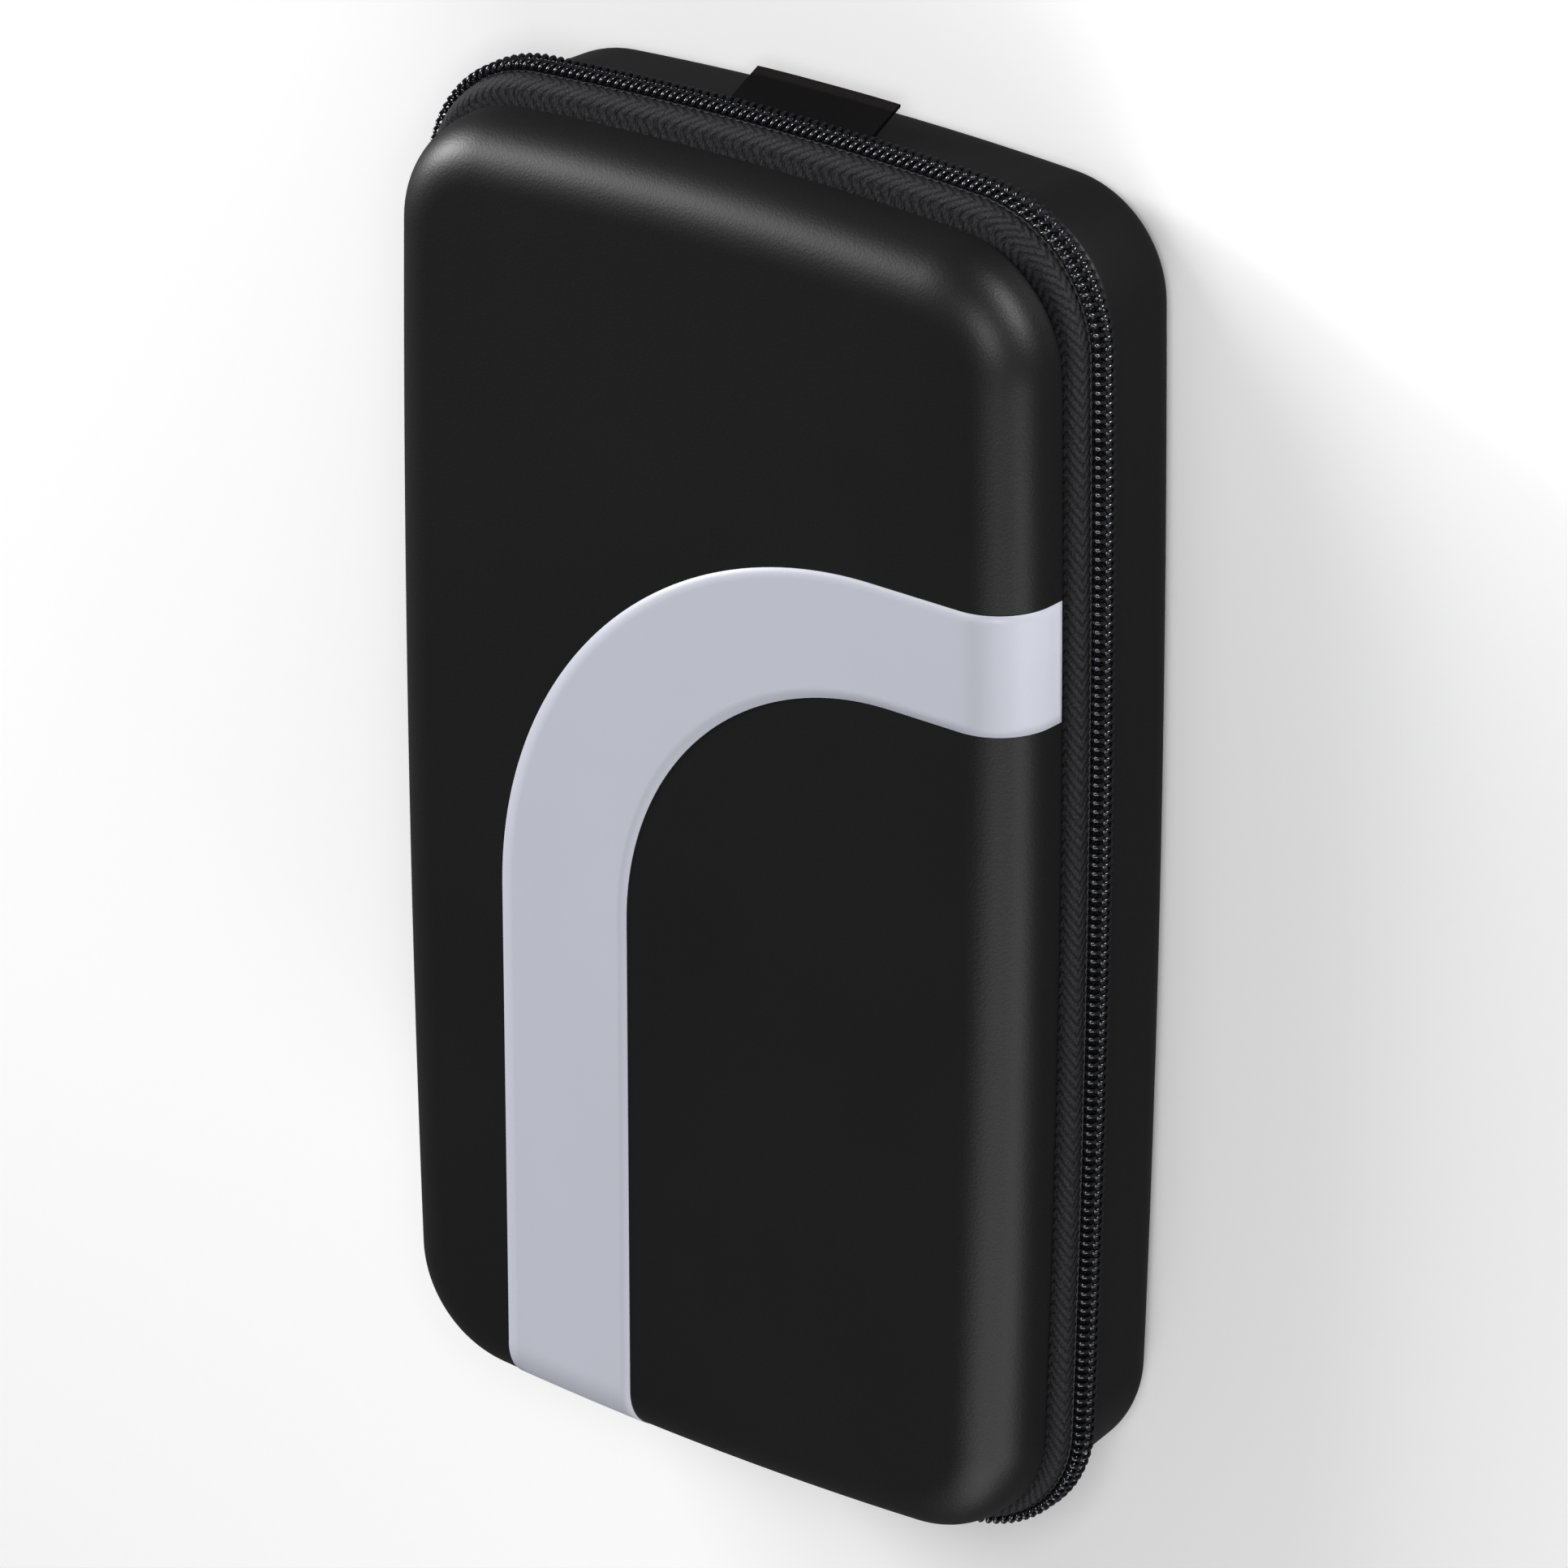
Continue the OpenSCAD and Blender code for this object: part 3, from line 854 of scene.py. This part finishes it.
class CASE_OT_shells(bpy.types.Operator):
    """Build the two moulded shells and the stripe pressed on the lid"""

    bl_idname = "console_case.shells"
    bl_label = "Shells and stripe"

    def execute(self, context):
        sizes = context.scene.case_sizes
        shapes = (
            (sizes.rear_depth, sizes.rear_round), (sizes.lid_depth, sizes.lid_round)
        )
        for (side, word, body, cad), shape in zip(HALVES, shapes):
            shell = build_shell(sizes, f"{word}_shell_body", side, *shape)
            dress(shell, f"{cad}_shell", body)
        lines = [stripe_line(sizes, across) for across in np.linspace(0, 1, 13)]
        rows = len(lines[0])
        faces = [
            (i * rows + j, (i + 1) * rows + j, (i + 1) * rows + j + 1, i * rows + j + 1)
            for i in range(len(lines) - 1)
            for j in range(rows - 1)
        ]
        stripe = add_piece(
            "lid_stripe_film", (np.concatenate(lines), faces, None), ["film"], None, 40
        )
        if sum(f.normal.z for f in stripe.data.polygons) < 0:
            stripe.data.flip_normals()
        give_thickness(stripe, "Film thickness", 0.9 * sizes.film, -1)
        dress(stripe, "front_stripe", "lid")
        return {"FINISHED"}


class CASE_OT_tapes(bpy.types.Operator):
    """Build the woven zip tapes, with separate stretches beside the hinge"""

    bl_idname = "console_case.tapes"
    bl_label = "Zip tapes"

    def execute(self, context):
        sizes = context.scene.case_sizes
        plan = Outline(sizes)
        for side, word, body, cad in HALVES:
            main = self.tape(sizes, plan.from_left(-CORNER_Y, CORNER_Y), side)
            main = add_piece(f"{word}_tape", main, ["tape"])
            dress(main, f"{cad}_zip_tape", body)
            ends, _ = joined(
                self.tape(sizes, plan.on_left(CORNER_Y, CLOTH_Y), side),
                self.tape(sizes, plan.on_left(-CLOTH_Y, -CORNER_Y), side),
            )
            dress(add_piece(f"{word}_tape_ends", ends, ["tape"]))
        return {"FINISHED"}

    def tape(self, sizes, path, side):
        """A tape's mesh along a path, its edge drawn back where the slider parts it."""
        rows = []
        for base, out in zip(*path[:2]):
            y = base[1] + sizes.coil_out * out[1]
            edge = 0.1 * MM
            if base[0] < 0 and SLIDER_Y < y < 0:
                edge += PARTED * smooth((y - SLIDER_Y) / (3.5 * MM))
            short = 0.0
            if side > 0 and base[1] > 0.05:  # at the lid's upper end
                short = sizes.lid_short * max(0.0, out[1])
            rows.append(thicken(tape_middle(sizes, edge, short), sizes.tape))
        return sweep(path, height(sizes, side, rows))


class CASE_OT_coils(bpy.types.Operator):
    """Build the zip's two nylon coils with the thread that sews them down"""

    bl_idname = "console_case.coils"
    bl_label = "Zip coils"

    def execute(self, context):
        sizes = context.scene.case_sizes
        plan = Outline(sizes)
        chain = plan.from_left(*CHAIN_Y, 0.002)
        eighth = len(chain[2]) // 8
        first = self.run_at(plan, chain, -CORNER_Y, slice(0, eighth))
        last = self.run_at(plan, chain, CORNER_Y, slice(-eighth, None))
        stretches = [(0.0, first), (first, last), (last, chain[2][-1])]
        for side, word, body, cad in HALVES:
            low, middle, high = (self.coil(sizes, chain, side, *s) for s in stretches)
            main = self.piece(f"{word}_coil", middle)
            dress(main, f"{cad}_zip_coil", body)
            dress(self.piece(f"{word}_coil_ends", low + high))
        return {"FINISHED"}

    def run_at(self, plan, chain, y, part):
        """The distance along this part of the chain where it is at y."""
        base, out, along = (values[part] for values in chain)
        heights = base[:, 1] + plan.under_coil * out[:, 1]
        order = np.argsort(heights)
        return float(np.interp(y, heights[order], along[order]))

    def piece(self, name, parts):
        """One object from wires, each with its two threads after it."""
        mesh, source = joined(*parts)
        slots = [min(1, part % 3) for part in source]
        return add_piece(name, mesh, ["coil", "thread"], slots)

    def coil(self, sizes, chain, side, start, end):
        """A coil's wire and its two threads over one stretch of the chain."""
        teeth = max(2, round((end - start) / sizes.pitch))
        turn = np.linspace(0, 2 * math.pi * teeth, teeth * WIRE_STEPS + 1)
        run = start + (end - start) * turn / turn[-1]
        # the two halves' heads sit half a pitch apart and reach into each other
        shift = 0.0 if side < 0 else sizes.pitch / 2
        base, out = at_run(chain, np.clip(run + shift, 0, chain[2][-1]))
        low, high, deep = -0.12 * MM, 2.12 * MM, 0.8 * MM  # of the coil, from the seam
        across = (low + high) / 2 + ((high - low) / 2 - sizes.wire) * np.cos(turn)
        reach = sizes.coil_out - (deep - sizes.wire) * np.sin(turn)
        centres = np.column_stack(
            [base + reach[:, None] * out, sizes.seam + side * across]
        )
        round_it = np.column_stack(
            [-np.sin(turn)[:, None] * out, side * np.cos(turn)]
        )
        # the wire is pressed wider at its head, by the seam
        head = np.exp(-(((np.cos(turn) + 1) / 0.25) ** 2))
        wire = tube(centres, round_it, sizes.wire * (1 + 0.12 * head), 7)
        threads = [
            self.thread(sizes, chain, (start, end, teeth), sizes.seam + side * place)
            for place in (0.85 * MM, 1.6 * MM)
        ]
        return [wire, *threads]

    def thread(self, sizes, chain, stretch, z):
        """A thread between coil and tape that dips between the teeth."""
        start, end, teeth = stretch
        deep, dip, radius = 0.72 * MM, 0.1 * MM, 0.1 * MM
        turn = np.linspace(0, 2 * math.pi * teeth, teeth * 4 + 1)
        base, out = at_run(chain, start + (end - start) * turn / turn[-1])
        reach = sizes.coil_out - (deep + dip * np.cos(turn))
        centres = np.column_stack([base + reach[:, None] * out, np.full(len(turn), z)])
        return tube(centres, (0.0, 0.0, 1.0), radius, 5)


class CASE_OT_hinge(bpy.types.Operator):
    """Build the cloth hinge along the left side"""

    bl_idname = "console_case.hinge"
    bl_label = "Cloth hinge"

    def execute(self, context):
        sizes = context.scene.case_sizes
        path = Outline(sizes).on_left(sizes.hinge, -sizes.hinge)
        upper, lower = (
            height(sizes, side, tape_middle(sizes, 0.0)) for side in (1, -1)
        )
        middle = np.concatenate([upper, lower[::-1][1:]])
        mesh = sweep(path, thicken(middle, sizes.tape))
        strip = add_piece("hinge_cloth", mesh, ["hinge"])
        dress(strip, "hinge_strip")
        return {"FINISHED"}


class CASE_OT_bindings(bpy.types.Operator):
    """Build the stitched bindings inside both rims"""

    bl_idname = "console_case.bindings"
    bl_label = "Edge bindings"

    def execute(self, context):
        sizes = context.scene.case_sizes
        thickness = 0.7 * MM
        outer = sizes.corner - sizes.rim_wall - 0.1 * MM - sizes.tape
        low, high = sizes.rim_gap + 0.4 * MM, sizes.rim_gap + sizes.hem - 0.05 * MM
        r, from_edge = thickness / 2, 1.6 * MM
        band = arc((outer - r, low + r), r, 180, 360, 8)
        band += line(band.pop(), (outer, high - r), 3)
        band += arc((outer - r, high - r), r, 0, 180, 8)
        band += line(band.pop(), (outer - thickness, low + r), 3)
        for side, word, body, cad in HALVES:
            plan = Outline(sizes, sizes.lid_short if side > 0 else 0.0)
            parts = [sweep(plan.ring(0.003), height(sizes, side, band), ring=True)]
            for place in (low + from_edge, high - from_edge):
                z = sizes.seam + side * place
                parts += self.stitches(plan.ring(0.002), outer - thickness, z)
            mesh, source = joined(*parts)
            slots = [min(1, part) for part in source]
            piece = add_piece(f"{word}_rim_binding", mesh, ["binding", "thread"], slots)
            dress(piece, f"{cad}_edge_binding", body)
        return {"FINISHED"}

    def stitches(self, ring, reach, z):
        """A row of lock stitches, 3.2 mm long, sunk at both ends into the band."""
        total = ring[2][-1]
        count = round(total / (3.2 * MM))
        gap = 0.08  # share of a stitch's length, at each end
        rise, sunk, radius = 0.08 * MM, 0.05 * MM, 0.17 * MM
        t = np.linspace(gap, 1 - gap, 6)
        proud = reach - rise * np.sin(math.pi * (t - gap) / (1 - 2 * gap)) + sunk
        stitches = []
        for n in range(count):
            base, out = at_run(ring, (n + t) / count * total)
            centres = np.column_stack([base + proud[:, None] * out, np.full(6, z)])
            stitches.append(tube(centres, (0.0, 0.0, 1.0), radius, 6))
        return stitches


class CASE_OT_label(bpy.types.Operator):
    """Build the folded satin label in the upper end's seam"""

    bl_idname = "console_case.label"
    bl_label = "Label loop"

    def execute(self, context):
        sizes = context.scene.case_sizes
        low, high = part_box("label_loop")
        left, right = low.x + 2.3 * MM, high.x + 3.0 * MM
        thickness, gap = 0.2 * MM, 0.14 * MM
        # half of the folded ribbon in mm, from the seam out to the fold: it leaves the
        # seam at the lip and then slopes down the rear shell's end
        root = sizes.rim_gap / MM - 0.275
        lip, foot = 90.25, root + 0.45
        knots = [(88.4, root), (89.6, root), (lip, foot)]
        knots += [(lip + 0.4 * run, foot + 0.917 * run) for run in (1, 2.6, 4.6, 7.0)]
        spine = self.curve(np.array(knots) * MM, 26)
        along = unit(np.gradient(spine, axis=0))
        side = np.stack([-along[:, 1], along[:, 0]], 1)
        apart = (gap + thickness) / 2
        tip, ahead, across = spine[-1], along[-1], side[-1]
        turn = [
            tip + apart * (math.sin(a) * ahead * 1.2 + math.cos(a) * across)
            for a in np.linspace(0, math.pi, 9)[1:-1]
        ]
        back = (spine - apart * side)[::-1]
        ribbon = np.concatenate([spine + apart * side, turn, back])
        run, section = run_along(ribbon), thicken(ribbon, thickness)
        xs = np.linspace(left, right, 23)
        points = []
        for x in xs:
            # the cut ends of the ribbon lie a little flatter than its middle
            t = abs(2 * (x - left) / (right - left) - 1)
            bow = 0.25 * MM * t**3
            points += [
                (x, y, sizes.seam - s + bow * smooth((y - 0.0902) / (2 * MM)))
                for y, s in section
            ]
        from_fold = np.abs(np.concatenate([run, run[::-1], run[:1]]) - run[-1] / 2)
        mesh = (points, *skin_over(xs, from_fold))
        label = add_piece("satin_label", mesh, ["satin"])
        dress(label, "label_loop", "base")
        return {"FINISHED"}

    def curve(self, knots, count):
        """A smooth line through knots."""
        run = run_along(knots)
        fine = np.linspace(0, run[-1], 8 * count)
        straight = np.stack([np.interp(fine, run, knots[:, n]) for n in (0, 1)], 1)
        window = np.hanning(41)
        padded = np.pad(straight, ((20, 20), (0, 0)), mode="reflect", reflect_type="odd")
        softened = np.stack(
            [np.convolve(padded[:, n], window / window.sum(), "valid") for n in (0, 1)], 1
        )
        return softened[np.linspace(0, len(fine) - 1, count).astype(int)]


class CASE_OT_slider(bpy.types.Operator):
    """Build the zip's slider, pull and stops"""

    bl_idname = "console_case.slider"
    bl_label = "Slider, pull and stops"

    def execute(self, context):
        sizes = context.scene.case_sizes
        low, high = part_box("zip_slider")
        middle = Vector((HINGE_X, (low.y + high.y) / 2, sizes.seam))

        def placed(plan, out):
            """Plan points (along, up) in mm, at a distance out from the coil's middle."""
            p = np.asarray(plan, float) * MM
            return np.column_stack(
                [np.full(len(p), middle.x - out * MM), middle.y - p[:, 0],
                 middle.z + p[:, 1]]
            )

        self.slider((high.y - low.y) / 2 / MM, placed)
        self.pull(placed)
        self.stops()
        return {"FINISHED"}

    def metal(self, name, parts, edge, node, body):
        """An enamelled piece made of these parts, with its edges rounded."""
        mesh, _ = joined(*parts)
        piece = add_piece(name, mesh, ["enamel"], None, 30)
        soften(piece, edge)
        dress(piece, node, body)

    def slider(self, half, placed):
        """The slider's two plates, the wedge and rails between them, and its arch."""
        outer, inner, plate = 1.1, 1.65, 0.8
        wedge = [(-half + 0.5, 0), (-half + 1.6, 0.75), (0, 0.35), (0, -0.35)]
        wedge += [(-half + 1.6, -0.75)]
        parts = [
            flat_plate(self.shield(half, 3.3), outer, outer + plate, placed),
            flat_plate(self.shield(half, 2.9), -inner - plate, -inner, placed),
            flat_plate(wedge, -inner - 0.1, outer + 0.1, placed),
        ]
        for up in (-1, 1):
            rail = rectangle(-half + 0.6, half - 0.6, up * 2.45, up * 3.0)
            parts.append(flat_plate(rail, -0.4, outer + 0.1, placed))
        parts.append(self.arch(outer + plate, placed))
        self.metal("zip_slider_body", parts, 0.14 * MM, "zip_slider", "slider")

    def shield(self, half, wide):
        """Outline of a slider plate: broad where the tapes part, narrower behind."""
        r, waist = 0.7, wide - 0.5
        points = arc((-half + r, -wide + r), r, 180, 270, 5)
        points += arc((-0.2, -wide + r), r, 270, 300, 3)
        points += arc((half - r, -waist + r), r, 290, 360, 5)
        return points + [(a, -b) for a, b in points[::-1]]

    def arch(self, foot, placed):
        """The bridge that holds the pull: a flat bar bent over the outer plate."""
        rise, span, r, wide = 2.95, 2.0, 0.9, 0.7
        crown = foot + rise - r - 0.4
        bend = [(-span, foot - 0.2), (-span, foot + 0.6)]
        bend += arc((-span + r, crown), r, 180, 90, 6) + arc((span - r, crown), r, 90, 0, 6)
        bend += [(span, foot + 0.6), (span, foot - 0.2)]
        bar = thicken(bend, 0.75)
        count = len(bar)
        points = np.concatenate(
            [placed([(a, up)], b) for up in (-wide, wide) for a, b in bar]
        )
        faces = [
            (j, (j + 1) % count, count + (j + 1) % count, count + j) for j in range(count)
        ]
        faces += [
            (start + j, start + j + 1, start + count - 2 - j, start + count - 1 - j)
            for start in (0, count)
            for j in range(count // 2 - 1)
        ]
        return points, faces, [(0, 0)] * sum(len(f) for f in faces)

    def pull(self, placed):
        """The pull: a flat tongue with a sunk field, a neck and an eye round the arch."""
        bar, thick, long, wide, eye = 2.65, 1.0, 20.0, 2.2, 2.15
        low, high = bar - thick / 2, bar + thick / 2
        tongue = arc((-long + wide, 0), wide, 90, 270, 12)
        tongue += [(-5.2, -wide), (-4.4, -wide), (-3.4, -wide + 0.3)]
        tongue += [(-3.4, wide - 0.3), (-4.4, wide)]
        parts = [flat_plate(tongue, low, high, placed, 0.7, 0.15)]
        for up in (-1, 1):
            leg = rectangle(-3.8, 0.35, up * 1.1, up * eye)
            parts.append(flat_plate(leg, low, high, placed))
        pin = placed([(0, -eye), (0, eye)], bar)
        centres = np.linspace(pin[0], pin[1], 9)
        parts.append(tube(centres, (1.0, 0.0, 0.0), thick / 2 * MM, 12))
        self.metal("zip_pull", parts, 0.12 * MM, "pull_tab", "pull")

    def stops(self):
        """Clamped stops: small rounded blocks pinched round the tapes' edges."""
        for node, name in (
            ("zip_start_stop", "start_stop_clamp"),
            ("rear_top_stop", "rear_stop_clamp"),
            ("front_top_stop", "lid_stop_clamp"),
        ):
            xs, ys, zs = zip(*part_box(node))
            corners = [(x, y, z) for x in xs for y in ys for z in zs]
            faces = [(0, 1, 3, 2), (4, 6, 7, 5), (0, 4, 5, 1), (2, 3, 7, 6)]
            faces += [(0, 2, 6, 4), (1, 5, 7, 3)]
            stop = add_piece(name, (corners, faces, None), ["enamel"], None, 30)
            soften(stop, 0.35 * MM, 3)
            dress(stop, node, "fold")


class CASE_OT_pocket(bpy.types.Operator):
    """Build the net pocket inside the lid with its elastic hem"""

    bl_idname = "console_case.pocket"
    bl_label = "Lid pocket"

    def execute(self, context):
        sizes = context.scene.case_sizes
        plan = Outline(sizes)
        reach = sizes.corner - sizes.rim_wall - 1.5 * MM - sizes.tape
        base, out, _ = plan.ring(0.003)
        top, z = sizes.pocket_top, sizes.seam + sizes.rim_gap + 1.3 * MM
        sag = 0.9 * MM
        edge = (base + reach * out)[:-1]
        work = bmesh.new()
        work.faces.new([work.verts.new((x, y, z)) for x, y in edge])
        for n in range(-10, 12):
            self.slice(work, (0, n * GRID, 0), (0, 1, 0))
        for n in range(-6, 7):
            self.slice(work, (n * GRID, 0, 0), (1, 0, 0))
        self.slice(work, (0, top, 0), (0, 1, 0), clear_outer=True)
        mesh = bpy.data.meshes.new("pocket_net")
        work.to_mesh(mesh)
        work.free()
        # the net hangs a little where nothing holds it, away from its sewn sides and end
        held_x, held_y, fade_x, fade_y = 0.046, -0.086, 0.03, 0.05
        for v in mesh.vertices:
            side = min(1.0, (held_x - abs(v.co.x)) / fade_x)
            lower = min(1.0, (v.co.y - held_y) / fade_y)
            v.co.z -= sag * max(0.0, side) ** 0.5 * max(0.0, lower)
        mesh.materials.append(finish_of("net"))
        mesh.shade_smooth()
        net = link("pocket_net", mesh)
        give_thickness(net, "Net thickness", 0.4 * MM, 0)
        dress(net, "mesh_pocket", "lid")
        self.hem(z, sag)
        return {"FINISHED"}

    def slice(self, work, place, normal, **options):
        """Cuts the net's faces along a plane, and keeps both sides unless told."""
        bmesh.ops.bisect_plane(
            work, geom=work.verts[:] + work.edges[:] + work.faces[:],
            plane_co=place, plane_no=normal, **options,
        )

    def hem(self, z, sag):
        """The elastic band on the pocket's open edge, puckered by its stitching."""
        low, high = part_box("pocket_hem")
        xs = np.linspace(low.x, high.x, 60)
        r = 0.8 * MM
        start, end = low.y + r, high.y - r
        band = arc((start, 0), r, 90, 270, 6) + line((start, -r), (end, -r), 6)[1:]
        band += arc((end, 0), r, 270, 450, 6) + line((end, r), (start, r), 6)[1:]
        points = []
        for x in xs:
            hang = z - sag * (1 - (abs(x) / xs[-1]) ** 2)
            # a pucker comes every 13 mm and swells the band by 8%
            pucker = 0.85 * (1 + 0.08 * math.sin(x / (2.1 * MM)))
            points += [(x, y, hang + h * pucker) for y, h in band]
        mesh = (points, *skin_over(xs, run_along(np.array(band + band[:1]))))
        hem = add_piece("pocket_elastic", mesh, ["elastic"])
        return dress(hem, "pocket_hem", "lid")


# Stage -----------------------------------------------------------------------------


class CASE_OT_stage(bpy.types.Operator):
    """Set up the floor, the soft lights and the camera"""

    bl_idname = "console_case.stage"
    bl_label = "Stage"

    def execute(self, context):
        scene = context.scene
        half = 3.0
        paper = bpy.data.meshes.new("paper_floor")
        corners = [(x, y, 0) for x, y in rectangle(-half, half, -half, half)]
        paper.from_pydata(corners, [], [(0, 1, 2, 3)])
        paper.materials.append(finish_of("paper"))
        floor = link("paper_floor", paper)
        # as with a dark card under the lens, the sides don't mirror the white paper
        floor.visible_glossy = False
        world = bpy.data.worlds.new("Pale studio")
        scene.world = world
        world.use_nodes = True
        air = world.node_tree.nodes["Background"].inputs
        air["Color"].default_value = (1, 1, 1, 1)
        air["Strength"].default_value = 0.11
        middle = Vector((0, 0, scene.case_sizes.seam))
        for name, place, size, power in (
            ("Key light", (0.5, 0.42, 0.76), (0.25, 0.25), 3.5),
            ("Right softbox", (0.88, -0.43, 0.22), (0.5, 0.4), 2.0),
            ("Upper softbox", (-0.55, 0.66, 0.51), (0.45, 0.45), 3.7),
            ("Left strip", (-0.88, 0.37, 0.24), (0.3, 0.3), 9.0),
            ("Corner strip", (0.12, 0.15, 0.014), (0.08, 0.02), 0.09),
            ("Lower fill", (0.3, -0.5, 0.42), (0.6, 0.6), 2.5),
        ):
            self.softbox(name, Vector(place), middle, size, power)
        self.camera(scene, middle)
        scene.view_settings.view_transform = "Standard"
        return {"FINISHED"}

    def softbox(self, name, place, aim, size, power):
        """A rectangular area light that faces the case and that the camera doesn't see."""
        light = bpy.data.lights.new(name, "AREA")
        light.shape = "RECTANGLE"
        light.size, light.size_y = size
        light.energy = power
        lamp = link(name, light)
        lamp.location = place
        lamp.visible_camera = False
        lamp.rotation_euler = (aim - place).to_track_quat("-Z", "Y").to_euler()

    def camera(self, scene, middle):
        """The photograph's view: it looks down on the case, turned so that +Y is up."""
        turn, tilt, roll = math.radians(37.26), math.radians(25.53), math.radians(0.07)
        distance, to_right, upwards = 1.09095, 0.00265, 0.00203
        right = Vector((math.cos(turn), 0, -math.sin(turn)))
        level = Vector((math.sin(turn), 0, math.cos(turn)))
        away = math.cos(tilt) * level + Vector((0, math.sin(tilt), 0))
        up = away.cross(right)
        eye = middle + distance * away + to_right * right + upwards * up
        data = bpy.data.cameras.new("Photo view")
        data.sensor_width = 36
        data.lens = 198.54
        data.clip_start = 0.05
        camera = link("Photo view", data)
        turned = Matrix.Rotation(roll, 3, away)
        axes = Matrix((turned @ right, turned @ up, away)).transposed()
        camera.matrix_world = Matrix.Translation(eye) @ axes.to_4x4()
        scene.camera = camera


STEPS = [
    CASE_OT_shells,
    CASE_OT_tapes,
    CASE_OT_coils,
    CASE_OT_hinge,
    CASE_OT_bindings,
    CASE_OT_label,
    CASE_OT_slider,
    CASE_OT_pocket,
    CASE_OT_stage,
]


class CASE_PT_pieces(bpy.types.Panel):
    """Lists the case's sizes, colours and building steps"""

    bl_idname = "CASE_PT_pieces"
    bl_label = "Console case"
    bl_space_type = "VIEW_3D"
    bl_region_type = "UI"
    bl_category = "Case"

    def draw(self, context):
        layout = self.layout
        for group in (context.scene.case_sizes, context.scene.case_colours):
            box = layout.box()
            for name in group.__annotations__:
                box.prop(group, name)
        for step in STEPS:
            layout.operator(step.bl_idname)


CLASSES = [CaseSizes, CaseColours, *STEPS, CASE_PT_pieces]


def register():
    for cls in CLASSES:
        bpy.utils.register_class(cls)
    bpy.types.Scene.case_sizes = bpy.props.PointerProperty(type=CaseSizes)
    bpy.types.Scene.case_colours = bpy.props.PointerProperty(type=CaseColours)


def unregister():
    del bpy.types.Scene.case_sizes
    del bpy.types.Scene.case_colours
    for cls in reversed(CLASSES):
        bpy.utils.unregister_class(cls)


def main():
    """Builds every piece and the stage."""
    register()
    bpy.ops.console_case.shells()
    bpy.ops.console_case.tapes()
    bpy.ops.console_case.coils()
    bpy.ops.console_case.hinge()
    bpy.ops.console_case.bindings()
    bpy.ops.console_case.label()
    bpy.ops.console_case.slider()
    bpy.ops.console_case.pocket()
    bpy.ops.console_case.stage()


if __name__ == "__main__":
    main()
